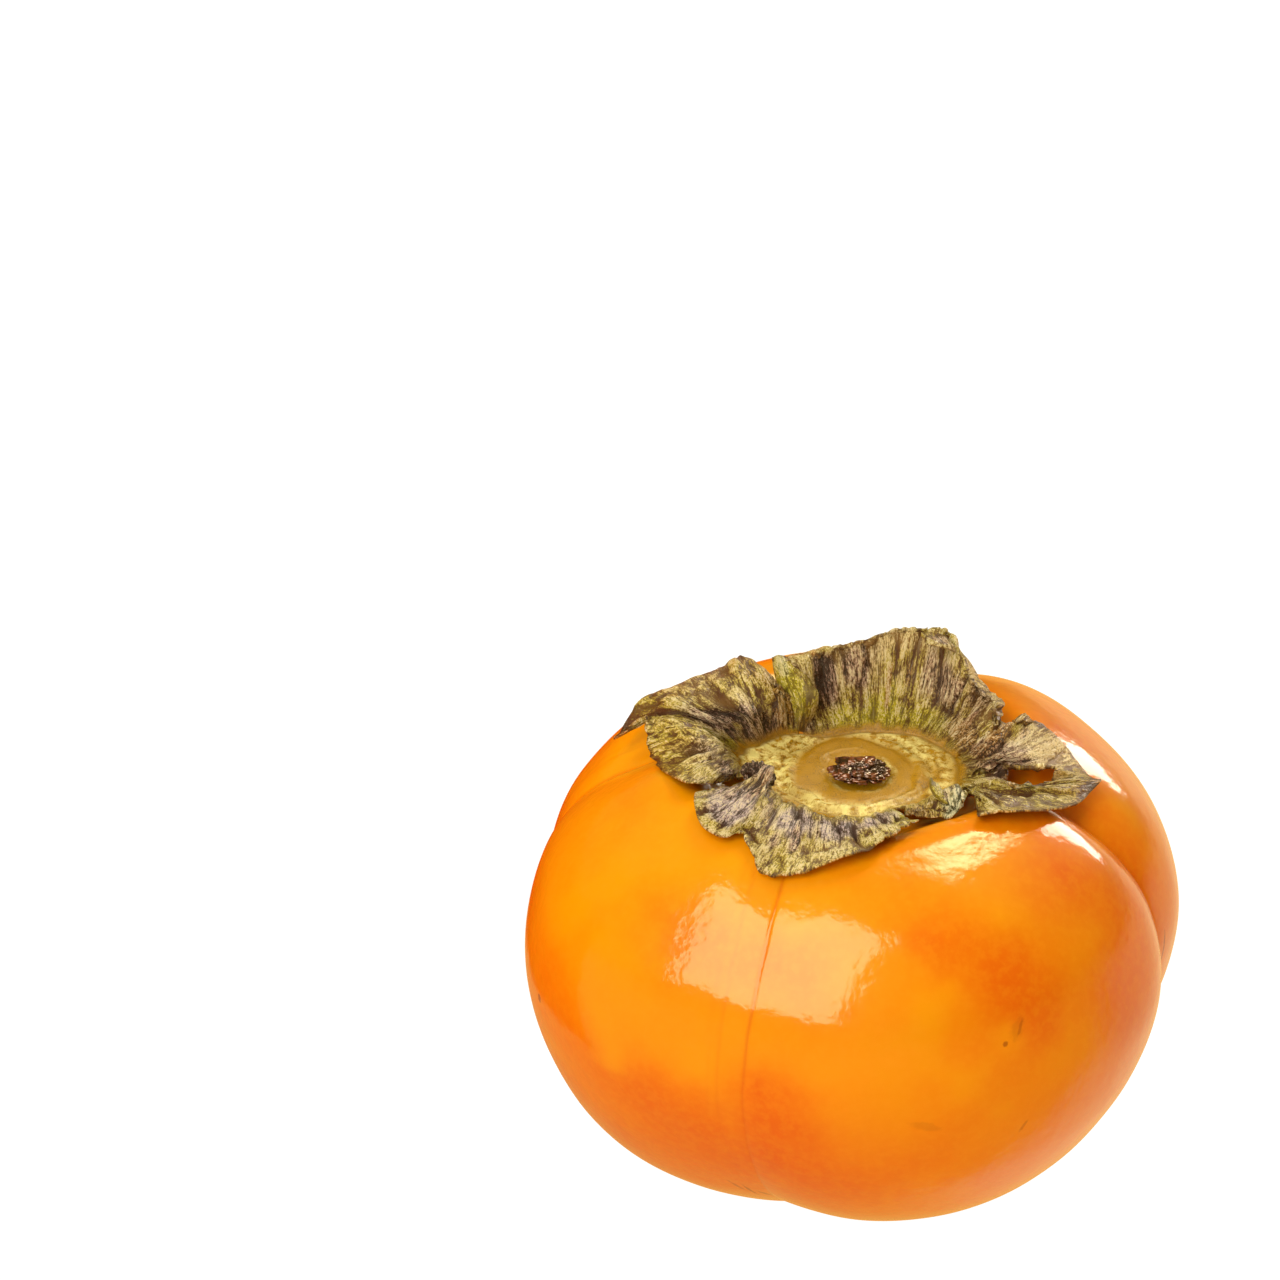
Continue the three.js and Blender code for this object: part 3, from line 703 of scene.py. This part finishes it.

# Colour patches of a blade: rib number, share along it, half width in ribs, half length, strength.
# Dark patches are partly the blades' own purple-brown, partly painted shade in troughs and folds; pale
# patches are partly their own tan, partly painted light along crests.
BLADE_PAINT = {
    "front": {
        "mauve": [(1.8, 0.65, 2, 0.24, 1), (6.4, 0.5, 1.5, 0.13, 0.95), (8.3, 0.54, 1.1, 0.14, 0.9),
                  (10, 0.58, 0.6, 0.21, 0.8)],
        "dark_and_shade": [(2.4, 0.32, 1.6, 0.2, 1), (1.2, 0.55, 0.8, 0.12, 0.6), (6.4, 0.65, 0.2, 0.12, 1),
                 (5.6, 0.71, 0.3, 0.08, 0.8), (7.2, 0.59, 0.1, 0.11, 1), (4.2, 0.5, 0.4, 0.1, 0.7)],
        "pale_and_lit": [(2.8, 0.98, 0.7, 0.13, 0.7), (5.3, 0.86, 0.7, 0.18, 0.4), (7.8, 0.79, 1.4, 0.18, 0.35)],
        "green": [(10.9, 0.74, 0.8, 0.36, 0.75), (6.6, 0.89, 0.8, 0.11, 0.2), (8.6, 0.86, 0.6, 0.15, 0.15)],
        "brown": [(2.7, 0.39, 0.6, 0.08, 0.5)],
    },
    "torn": {
        "brown": [(0.8, 0.73, 1.3, 0.5, 0.55)],
        "pale_and_lit": [(0.7, 0.81, 0.8, 0.31, 0.4)],
        "mint": [(3.7, 0.71, 1.2, 0.46, 1)],
        "dark_and_shade": [(3.1, 0.5, 0.4, 0.15, 0.6)],
    },
    "right": {
        "brown": [(9.3, 0.76, 1.3, 0.21, 0.9), (8, 0.34, 2, 0.19, 0.6), (3.8, 0.99, 0.5, 0.05, 1),
                  (4, 0.5, 0.6, 0.06, 0.8)],
        "dark_and_shade": [(7.6, 0.42, 2.8, 0.32, 1.2), (2.1, 0.49, 0.5, 0.1, 0.3), (7.2, 0.84, 0.2, 0.03, 0.4),
                 (4.6, 0.36, 0.6, 0.1, 0.8)],
        "pale_and_lit": [(6.5, 0.81, 1.9, 0.31, 1), (1.5, 0.86, 0.9, 0.16, 0.35)],
        "green": [(2.5, 0.85, 0.6, 0.12, 0.35), (5.8, 0.55, 1.1, 0.06, 0.6)],
    },
    "back": {
        "pale_and_lit": [(7.6, 0.8, 0.8, 0.6, 0.45), (5.7, 0.69, 1.2, 0.38, 0.75), (3.9, 0.6, 1.4, 0.08, 0.75),
                 (1.2, 0.6, 0.8, 0.21, 0.6), (4.3, 0.44, 0.3, 0.09, 0.35)],
        "dark_and_shade": [(7.2, 0.45, 0.7, 0.21, 1), (5.8, 0.48, 0.6, 0.14, 0.95), (2.8, 0.45, 1.1, 0.13, 0.85),
                 (1.7, 0.62, 0.6, 0.26, 0.7), (4.5, 0.43, 0.2, 0.08, 0.4),
                 (8.8, 0.4, 0.8, 0.6, 1), (1, 0.26, 0.9, 0.14, 0.6)],
        "green": [(5.1, 0.15, 1.8, 0.16, 1), (4.6, 0.34, 0.4, 0.13, 0.6), (6.8, 0.19, 0.6, 0.1, 0.6),
                  (3, 0.18, 0.7, 0.11, 0.4)],
        "brown": [(0.5, 0.19, 1.3, 0.21, 0.6), (4.8, 0.4, 0.1, 0.15, 1), (4.2, 0.44, 0.1, 0.08, 0.9),
                  (0, 0.69, 0.4, 0.15, 0.6)],
    },
    "left": {
        "dark_and_shade": [(4.7, 0.35, 1.4, 0.17, 1), (3, 0.17, 2, 0.24, 1), (10.8, 0.62, 0.9, 0.26, 1),
                 (5, 0.54, 0.6, 0.08, 0.5), (9.1, 0.6, 0.6, 0.18, 0.7), (7, 0.3, 0.5, 0.22, 0.9)],
        "pale_and_lit": [(9.3, 0.54, 0.7, 0.26, 0.6), (3.7, 0.98, 1, 0.41, 0.35), (3, 0.53, 0.6, 0.08, 0.4)],
        "green": [(8.6, 0.84, 0.8, 0.14, 0.25), (5.1, 0.99, 0.3, 0.14, 0.3), (6, 0.11, 1.2, 0.06, 0.6),
                  (0.8, 0.01, 0.9, 0.1, 0.6)],
        "brown": [(1, 0.58, 1.1, 0.46, 0.75), (6.2, 0.98, 0.5, 0.09, 1), (7.3, 1, 0.2, 0.07, 1)],
    },
    "rolled": {
        "green": [(3.1, 0.54, 2.9, 0.55, 1)],
        "mint": [(3.2, 0.88, 0.6, 0.13, 0.5)],
        "brown": [(2.2, 0.08, 1.8, 0.15, 0.7)],
    },
    "sliver": {"green": [(1, 0.5, 3, 2, 0.9)]},
    "brown_curl": {"brown": [(1, 0.5, 3, 2, 0.75)]},
    # The edge curl is dark inside and pale on its rim: painted shade and painted light of a rolled edge.
    "edge_curl": {
        "dark_and_shade": [(1.5, 0.45, 1.6, 0.3, 0.9)],
        "pale_and_lit": [(1.5, 1, 3, 0.3, 0.6)],
    },
}


def blots(table, across, along, warp):
    """Soft patches on a blade, with wandering edges."""
    total = 0 * across
    for at_across, at_along, wide, long, strength in table:
        far = np.hypot((across - at_across) / wide, (along - at_along) / long)
        total = total + strength * ease(1.25, 0.55, far + 0.4 * warp)
    return total.clip(0, 1)


def wrinkles(flat, share, seed):
    """Lift of the surface in mm, and how near a point is to a ridge (1) or a crease (0)."""
    bent = flat + 0.5 * noise(flat / [3, 4, 1], seed + 5)[..., None] * [1, 0, 0]
    pleat = ridged(bent / [3, 16, 1], seed + 30, 1)**2
    crease = ridged(bent / [1.5, 9, 1], seed + 10, 1)**4
    small = ridged(bent / [0.8, 3, 1], seed + 15, 1)**3
    cobble = noise(flat / [0.62, 0.8, 1], seed + 20)
    wave = noise(flat / [5, 6, 1], seed + 40)
    outer = ease(0.35, 0.75, share)
    start = ease(0.02, 0.2, share)
    calm = start * (1 - 0.65 * ease(0.82, 1, share))
    lift = calm * (-0.75 * pleat - 0.6 * crease - 0.36 * small + (0.05 + 0.08 * outer) * cobble)
    # The ridge value colours the blade: darker in pleats and creases as painted shade, lighter between them
    # as painted light.
    ridge = 1.05 - 0.45 * pleat - 0.7 * crease - 0.5 * small + (0.08 + 0.22 * outer) * cobble
    ridge = (start * ridge + (1 - start) * 0.6).clip(0, 1)
    return lift + 0.35 * wave * outer, ridge


def blade_paint(name, flat, across, along):
    """Share of each paint: the blade's own patches, a brown free edge, and the disc's colour at the root."""
    warp = rough(flat / [1.2, 3.5, 1], 71, 3)
    paint = {key: np.zeros_like(warp) for key in PAINTS}
    for key, table in BLADE_PAINT.get(name, {}).items():
        paint[key] = blots(table, across + 0 * along, along, warp)
    paint["brown"] = np.maximum(paint["brown"], 0.7 * ease(0.97, 1, along + 0.02 * warp))
    paint["disc"] = 1 - ease(0.02, 0.12, along + 0.03 * warp)
    return paint


def free_edge(name, at_rib, across, seed):
    """How far short of its full length a blade ends, in mm, along its ragged edge."""
    edge = np.stack([across / 1.6, 0 * across + seed, 0 * across], -1)
    teeth = 0.3 * ridged(edge, seed, 2) * ease(-0.2, 0.5, noise(edge / 3, seed + 4))
    teeth += 0.1 * noise(edge * 3, seed + 5)
    for rib, half_width, depth in NOTCHES.get(name, []):
        teeth += depth * (1 - np.abs(across - at_rib(rib)) / half_width).clip(0, 1)
    return teeth


def make_blade(name, ribs, seed):
    """Upper face of a blade, a grid from the disc (row 0) to the free edge.

    Gives its points, their places in the blade laid flat, the values at them, and its quads.
    """
    turns, distances, heights = np.moveaxis(np.array(ribs), -1, 0)
    control = place_around(turns, distances, SEAT_HEIGHT + heights)
    index = np.arange(len(ribs))
    gaps = np.linalg.norm(np.diff(control, axis=0), axis=-1).mean(axis=1)
    reached = np.concatenate([[0], np.cumsum(gaps)])
    across = np.linspace(0, reached[-1], int(reached[-1] * COLUMNS_PER_MM))
    place = np.interp(across, reached, index)
    length = np.interp(place, index, np.linalg.norm(np.diff(control, axis=1), axis=-1).sum(axis=1))
    along = np.linspace(0, 1, BLADE_ROWS)[:, None]

    def at_rib(rib):
        return np.interp(rib, index, reached)

    share = along * (1 - free_edge(name, at_rib, across, seed) / length)
    weights = curve_weights(len(ribs), place), curve_weights(4, share * 3)
    points = np.einsum("ci,rcj,ijd->rcd", *weights, control)
    flat = np.stack([across + 0 * share, share * length, 0 * share + 10 * seed], -1)
    lift, ridge = wrinkles(flat, share, seed)
    paint = blade_paint(name, flat, place, share)
    if name in LOOSE_BLADES:
        lift = LOOSE_LIFT * lift
        paint["disc"] = 0 * share
    for rib, at_along, wide, long, rise in DENTS.get(name, []):
        off = np.hypot((across - at_rib(rib)) / wide, (share - at_along) * length / long)
        lift = lift + rise * np.exp(-off**2 * 1.5)
        # A hollow is also darkened in colour: painted shade.
        if rise < 0:
            ridge = ridge * (1 - 0.8 * np.exp(-off**2 * 2))
    quads = grid_quads(BLADE_ROWS, len(across), False)[:, ::-1]
    if name in HOLES:
        rib, at_along, wide, long = HOLES[name]
        off = np.hypot((place - rib) / wide, (share - at_along) / long) + 0.12 * noise(flat / 0.6, 5)
        lift = lift + 0.6 * np.exp(-((off - 1.15) / 0.35)**2) * (place > rib)
        paint["brown"] = np.maximum(paint["brown"], 0.7 * hill(off, 0.8, 0.95, 1.05, 1.3))
        quads = quads[(off.ravel()[quads] > 1).all(axis=1)]
    return points, flat, {"lift": lift, "ridge": ridge, "thin": along + 0 * share, **paint}, quads


def hump(radius, at, width):
    """1 at a radius, falling to 0 within about twice the width on each side."""
    return np.exp(-((radius - at) / width)**2)


# Distances of the disc's round ridges from the axis, and of its small waves from each other.
INNER_RIDGE = 4.3
MIDDLE_RIDGE = 7.9
OUTER_RIDGE = 10.3
WAVE_PITCH = 1.15


def make_disc(rim_points):
    """Rings from the rim inwards: waves near the rim, a ridge, a smooth pad and a hollow for the stem."""
    off = rim_points[:, :2] - AXIS
    reach = np.hypot(off[:, 0], off[:, 1])
    turn = np.degrees(np.arctan2(off[:, 0], -off[:, 1]))
    share = np.linspace(0, 1, DISC_RINGS + 1)[1:-1][::-1, None]
    radius = share * reach
    flat = place_around(turn, radius, 0 * radius)
    wander = 0.5 * rough(flat / 3.5, 93, 2) + 0.12 * noise(flat / 0.9, 96)
    ring = radius + wander
    from_front = turn_from(turn, 0)
    back = hill(from_front, 80, 130, 230, 280)
    left = hill(from_front, 195, 240, 290, 325)
    right = hill(from_front, 40, 70, 120, 150)
    front = hill(turn_from(turn, 180), 110, 150, 200, 250)
    patchy = ease(-0.6, 0.6, rough((flat + wander[..., None]) / 1.1, 95, 3))
    wavelets = np.sin(ring * 2 * np.pi / WAVE_PITCH) * ease(7.5, 8.8, ring)
    cells = ridged(flat / 0.9, 97, 1)**2 * ease(7, 8, ring)
    height = 0.5 * hump(ring, INNER_RIDGE, 0.35) + 0.45 * hill(ring, 4.2, 5, 6.6, 7.3)
    height += 0.75 * hump(ring, MIDDLE_RIDGE, 0.6) * (1 - 0.6 * back) + 0.4 * hump(ring, OUTER_RIDGE, 0.8)
    height += (0.05 + 0.13 * back + 0.05 * right) * wavelets - 0.22 * cells * (0.3 + 0.7 * left)
    to_rim = ease(0.8, 1, share)
    height = height * (1 - to_rim) + (rim_points[:, 2] - DISH_FLOOR) * to_rim
    points = place_around(turn, radius, DISH_FLOOR + height)
    # Pale cream zones of the disc: partly its own colour, partly painted sparkle and sheen.
    cream_and_glints = np.max([
        left * ease(6.8, 8.5, ring) * (0.7 + 0.3 * patchy),
        front * hill(ring, 6.6, 7.3, 9.5, 10.5) * (0.5 + 0.5 * patchy),
        0.8 * hump(ring, INNER_RIDGE, 0.3) * np.maximum(right, 0.7 * front),
        0.75 * right * hill(ring, 8.2, 8.8, 11, 12) * patchy,
        # At the back, lighter still on the crests of the waves: painted light.
        back * (0.6 + 0.4 * ease(-0.1, 0.8, wavelets)) * ease(7, 8, ring),
    ], axis=0)
    # Browner in the groove inside the middle ridge on the right, as painted shade, and in patches round the
    # inner ridge.
    brown = 0.8 * right * hump(ring, 7.2, 0.8) + 0.35 * (1 - patchy) * hump(ring, 4.6, 0.5)
    # Browner in the troughs of the waves at the back: painted shade.
    brown = brown + 0.25 * back * ease(0.3, 0.9, -wavelets)
    # Lighter on the crests of the waves and darker in the sunken cells: painted light and painted shade.
    ridge = 0.7 + 0.3 * patchy - 0.9 * cells * (0.3 + 0.7 * left) + 0.3 * wavelets
    return points, {"ridge": ridge, "disc": 1 + 0 * radius, "cream_and_glints": cream_and_glints, "brown": brown}


class Sheet:
    """Upper face of the calyx, gathered from its blades and its disc, and after it the solid knob."""

    def __init__(self):
        self.count = 0
        self.points, self.flats, self.faces = [], [], []
        self.values = {key: [] for key in ("lift", "thin", *PAINTS, "ridge")}

    def add(self, points, flat, values, faces=()):
        """Take in points, the values at them, 0 where none is given, and the faces between them.

        Gives the number of its first point.
        """
        first = self.count
        self.points.append(points.reshape(-1, 3))
        self.flats.append(flat.reshape(-1, 3))
        for key, gathered in self.values.items():
            gathered.append(np.broadcast_to(values.get(key, 0), points.shape[:-1]).ravel())
        self.faces += [[int(k) + first for k in face] for face in faces]
        self.count += points.size // 3
        return first


def halving_faces(outer, inner):
    """Triangles between a ring of points and a ring that has every other one of them."""
    faces = []
    for j in range(len(inner)):
        k = (j + 1) % len(inner)
        a, b, c = outer[2 * j], outer[(2 * j + 1) % len(outer)], outer[2 * k]
        faces += [[a, b, inner[j]], [b, inner[k], inner[j]]]
        if b != c:
            faces.append([b, c, inner[k]])
    return faces


def crumpled_ball(rows, columns, seed):
    """A shrivelled knob from about -1 to 1: points, faces, and 1 on the ridges of its folds."""
    a = np.linspace(0, 2 * np.pi, columns, endpoint=False)
    b = np.linspace(-0.5 * np.pi, 0.5 * np.pi, rows + 2)[1:-1, None]
    ball = np.stack([np.cos(b) * np.sin(a), -np.cos(b) * np.cos(a), np.sin(b) + 0 * a], -1)
    ball = np.vstack([ball.reshape(-1, 3), [[0, 0, -1], [0, 0, 1]]])
    boxy = ball / np.abs(ball).max(-1, keepdims=True)
    folds = ridged(ball * [1.6, 2.4, 2], seed, 2)
    fine = ridged(ball * [5, 6, 5], seed + 6, 1)**2
    swell = 1 - 0.26 * folds - 0.07 * fine + 0.12 * noise(ball * 1.7, seed + 1)
    ridge = (1 - 0.7 * folds - 0.5 * fine).clip(0, 1)
    return (0.7 * ball + 0.3 * boxy) * swell[:, None], ball_faces(rows, columns), ridge


# The rounded knob in which the front blade ends: turn, distance, height above the seat, and half sizes.
KNOB_PLACE = (308, 14.6, 6.4)
KNOB_SIZE = (2.3, 1.5, 1.7)


def add_knob(sheet):
    """Add the knob, turned to face outwards."""
    ball, faces, ridge = crumpled_ball(40, 70, 31)
    a = np.radians(KNOB_PLACE[0])
    x, y, z = (ball * KNOB_SIZE).T
    turned = np.stack([x * np.cos(a) - y * np.sin(a), x * np.sin(a) + y * np.cos(a), z], -1)
    points = turned + place_around(KNOB_PLACE[0], KNOB_PLACE[1], SEAT_HEIGHT + KNOB_PLACE[2])
    # Darker in the creases of its folds: painted shade.
    sheet.add(points, points * 1.5, {"ridge": 0.55 * ridge, "dark_and_shade": 1}, faces)


def flat_disc(points):
    """Places of the disc laid flat, far from every blade in the texture."""
    return points * [1, 1, 0] + [0, 0, 900]


def calyx_sheet():
    """The blades joined by the disc, the rolled lobe and the small loose flaps."""
    sheet = Sheet()
    rim = []
    for i, (name, ribs) in enumerate(BLADES.items()):
        blade = make_blade(name, ribs, 3 + 7 * i)
        rim.append(sheet.add(*blade) + np.arange(blade[0].shape[1]))
    rings = [np.concatenate(rim)]
    disc, values = make_disc(np.vstack(sheet.points)[rings[0]])
    for i, row in enumerate(disc):
        keep = slice(None, None, 1 if i < RIM_RINGS else 2)
        row_values = {key: rows[i][keep] for key, rows in values.items()}
        first = sheet.add(row[keep], flat_disc(row[keep]), row_values)
        rings.append(first + np.arange(len(row[keep])))
    for outer, inner in zip(rings, rings[1:]):
        if len(outer) == len(inner):
            sheet.faces += np.stack([outer, np.roll(outer, -1), np.roll(inner, -1), inner], -1).tolist()
        else:
            sheet.faces += halving_faces(outer.tolist(), inner.tolist())
    centre = np.array([[*AXIS, DISH_FLOOR]])
    hub = sheet.add(centre, flat_disc(centre), {"ridge": 0.5})
    last = rings[-1]
    sheet.faces += np.stack([last, np.roll(last, -1), np.full(len(last), hub)], -1).tolist()
    for i, (name, ribs) in enumerate(LOOSE_BLADES.items()):
        sheet.add(*make_blade(name, ribs, 61 + 7 * i))
    return sheet


def sheet_normals(points, faces):
    """Unit normals at the points, each from the areas of the faces round it."""
    normals = np.zeros_like(points)
    for size in (3, 4):
        some = np.array([face for face in faces if len(face) == size])
        diagonals = points[some[:, 2]] - points[some[:, 0]], points[some[:, size - 1]] - points[some[:, 1]]
        face = np.cross(*diagonals)
        for corner in range(size):
            np.add.at(normals, some[:, corner], face)
    return normals / np.maximum(np.linalg.norm(normals, axis=1), 1e-12)[:, None]


def make_calyx():
    """The sheet lifted along its wrinkles, with a lower face and a wall round every edge, and the knob."""
    sheet = calyx_sheet()
    thin_count, thin_faces = sheet.count, len(sheet.faces)
    add_knob(sheet)
    faces = sheet.faces
    values = {key: np.concatenate(gathered) for key, gathered in sheet.values.items()}
    points = np.vstack(sheet.points)
    points = points + sheet_normals(points, faces) * values.pop("lift")[:, None]
    thickness = MIDDLE_THICKNESS - EDGE_THINNING * ease(0.5, 1, values.pop("thin"))
    lower = points - sheet_normals(points, faces) * thickness[:, None]
    edges = {(a, b) for face in faces for a, b in zip(face, face[1:] + face[:1])}
    wall = [[b, a, a + len(points), b + len(points)] for a, b in edges if (b, a) not in edges]
    lower_faces = [[k + len(points) for k in reversed(face)] for face in faces[:thin_faces]]
    values["blade"] = np.vstack(sheet.flats)
    attributes = {key: np.concatenate([value, value[:thin_count]]) for key, value in values.items()}
    add_piece("persimmon_calyx", np.vstack([points, lower[:thin_count]]), faces + lower_faces + wall,
              calyx_material(), "calyx", attributes)


# ---- stem stub

def make_stub():
    """A crumpled, shrunken knob that fills the place of its solid."""
    low, high = np.array(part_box("stem_stub")) / MM
    rows, columns = ((80, 150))
    shape, faces, ridge = crumpled_ball(rows, columns, 77)
    points = low + (shape - shape.min(axis=0)) / np.ptp(shape, axis=0) * (high - low)
    add_piece("persimmon_stem_stub", points, faces, stub_material(), "stem_stub", {"ridge": ridge})


# ---- floor, lights and camera

FRAME_PIXELS = 1280
PIXELS_PER_MM = 8.135
CAMERA_DISTANCE = 800
CAMERA_ELEVATION = 35
TARGET = np.array([*AXIS, 31])
TARGET_PIXEL = np.array([858.3, 926.1])


def add_camera():
    """Stands where the fruit is seen from 35 degrees up and lands where it does in the frame."""
    e = np.radians(CAMERA_ELEVATION)
    forward = np.array([0, np.cos(e), -np.sin(e)])
    up = np.array([0, np.sin(e), np.cos(e)])
    right = np.array([1, 0, 0])
    across, down = (TARGET_PIXEL - FRAME_PIXELS / 2) / PIXELS_PER_MM
    aim = TARGET - right * across + up * down
    stand = TARGET - forward * CAMERA_DISTANCE
    data = bpy.data.cameras.new("camera")
    data.sensor_width = 36
    data.lens = data.sensor_width * CAMERA_DISTANCE * PIXELS_PER_MM / FRAME_PIXELS
    data.clip_end = 20
    camera = new_object("camera", data)
    camera.location = stand * MM
    camera.rotation_euler = Vector(aim - stand).to_track_quat("-Z", "Y").to_euler()
    bpy.context.scene.camera = camera


ROOM_ABOVE = (0.24, 0.19, 0.04)
FLOOR_LEFT = (0.88, 0.42, 0.12)
FLOOR_RIGHT = (1.2, 0.64, 0.08)
FLOOR_BACK = (1.25, 0.82, 0.42)
GLOW_TURN = 150
GLOW = (12, 11.5, 6)


def direction_of(turn, elevation):
    """Unit vector from the fruit towards a turn and an elevation."""
    t, e = np.radians(turn), np.radians(elevation)
    return np.array([np.sin(t) * np.cos(e), -np.cos(t) * np.cos(e), np.sin(e)])


def add_softbox(name, turn, elevation, distance, width, height, radiance, colour,
                diffuse=True, glossy=True):
    """A rectangular light that faces the fruit, its distance and size in metres."""
    toward = direction_of(turn, elevation)
    data = bpy.data.lights.new(name, "AREA")
    data.shape = "RECTANGLE"
    data.size = width
    data.size_y = height
    data.energy = radiance * np.pi * width * height
    data.color = colour
    light = new_object(name, data)
    light.location = Vector(TARGET * MM) + Vector(toward) * distance
    light.rotation_euler = Vector(-toward).to_track_quat("-Z", "Y").to_euler()
    light.visible_diffuse = diffuse
    light.visible_glossy = glossy


FLOOR_REACH = 6000
FLOOR_DROP = 0.0002


def add_floor():
    """A white floor that shines evenly, just under the fruit so that the two don't share a plane."""
    corners = np.array([(-1, -1, 0), (1, -1, 0), (1, 1, 0), (-1, 1, 0)]) * FLOOR_REACH
    white = new_material("floor_white", Base_Color=(0.1, 0.1, 0.1, 1), Roughness=0.8,
                         Emission_Color=(1, 1, 1, 1), Emission_Strength=1)
    floor = add_mesh("floor", corners, [(0, 1, 2, 3)], white)
    floor.location.z = -FLOOR_DROP
    floor.visible_glossy = False
    floor.visible_diffuse = False


def add_world():
    """White room light: warm and low from the floor side, with one upright glow behind and above."""
    world = bpy.data.worlds.new("studio")
    world.use_nodes = True
    g = Graph(world, "Background")
    direction = g.node("ShaderNodeTexCoord").outputs["Generated"]
    split = g.node("ShaderNodeSeparateXYZ", {0: direction})
    right = split.outputs["X"]
    up = split.outputs["Z"]
    back_right = g.times(g.ramp(split.outputs["Y"], -0.1, 0.25), g.ramp(right, 0, 0.4))
    below = g.mix(g.ramp(right, -0.3, 0.5), FLOOR_LEFT, FLOOR_RIGHT)
    below = g.mix(back_right, below, FLOOR_BACK)
    room = g.mix(g.ramp(up, -0.2, 0.12), below, ROOM_ABOVE)
    toward = g.dot(direction, direction_of(GLOW_TURN, 0))
    aside = g.math("ABSOLUTE", g.dot(direction, direction_of(GLOW_TURN + 90, 0)))
    glow = g.times(g.ramp(toward, 0, 0.1), g.ramp(aside, 0.04, 0.19, 1, 0))
    glow = g.times(glow, g.ramp(up, 0.61, 0.74))
    glow = g.times(glow, g.ramp(up, 0.88, 0.97, 1, 0))
    g.drive("Color", g.mix(glow, room, GLOW))
    bpy.context.scene.world = world
    bpy.context.scene.view_settings.view_transform = "Standard"


def add_card(name, from_turn, to_turn, radius, height):
    """A curved orange card that stands round part of the fruit, out of sight, and warms that side."""
    turn = np.linspace(from_turn, to_turn, 24)
    rings = np.vstack([place_around(turn, radius, level) for level in (0, height)])
    orange = new_material("card_orange", Base_Color=(0.85, 0.2, 0.002, 1), Roughness=0.9)
    card = add_mesh(name, rings, grid_quads(2, len(turn), False), orange)
    card.visible_camera = False


add_camera()
add_world()
add_floor()
add_card("warm_card", 190, 290, 72, 58)
add_softbox("softbox_front_left", -32, 44, 0.55, 0.36, 0.53, 4.5, (1, 0.97, 0.58))
add_softbox("softbox_back_right", 144, 23, 0.6, 0.2, 0.32, 10, (1, 0.95, 0.8), diffuse=False)
add_softbox("fill_front", 0, 8, 0.7, 0.5, 0.4, 0.6, (1, 0.85, 0.5), glossy=False)
add_softbox("fill_right", 105, 45, 0.7, 0.4, 0.4, 1, (1, 0.8, 0.3), glossy=False)
add_softbox("fill_left", -125, 45, 0.7, 0.4, 0.4, 2.2, (1, 1, 0.6), glossy=False)
make_fruit()
make_calyx()
make_stub()
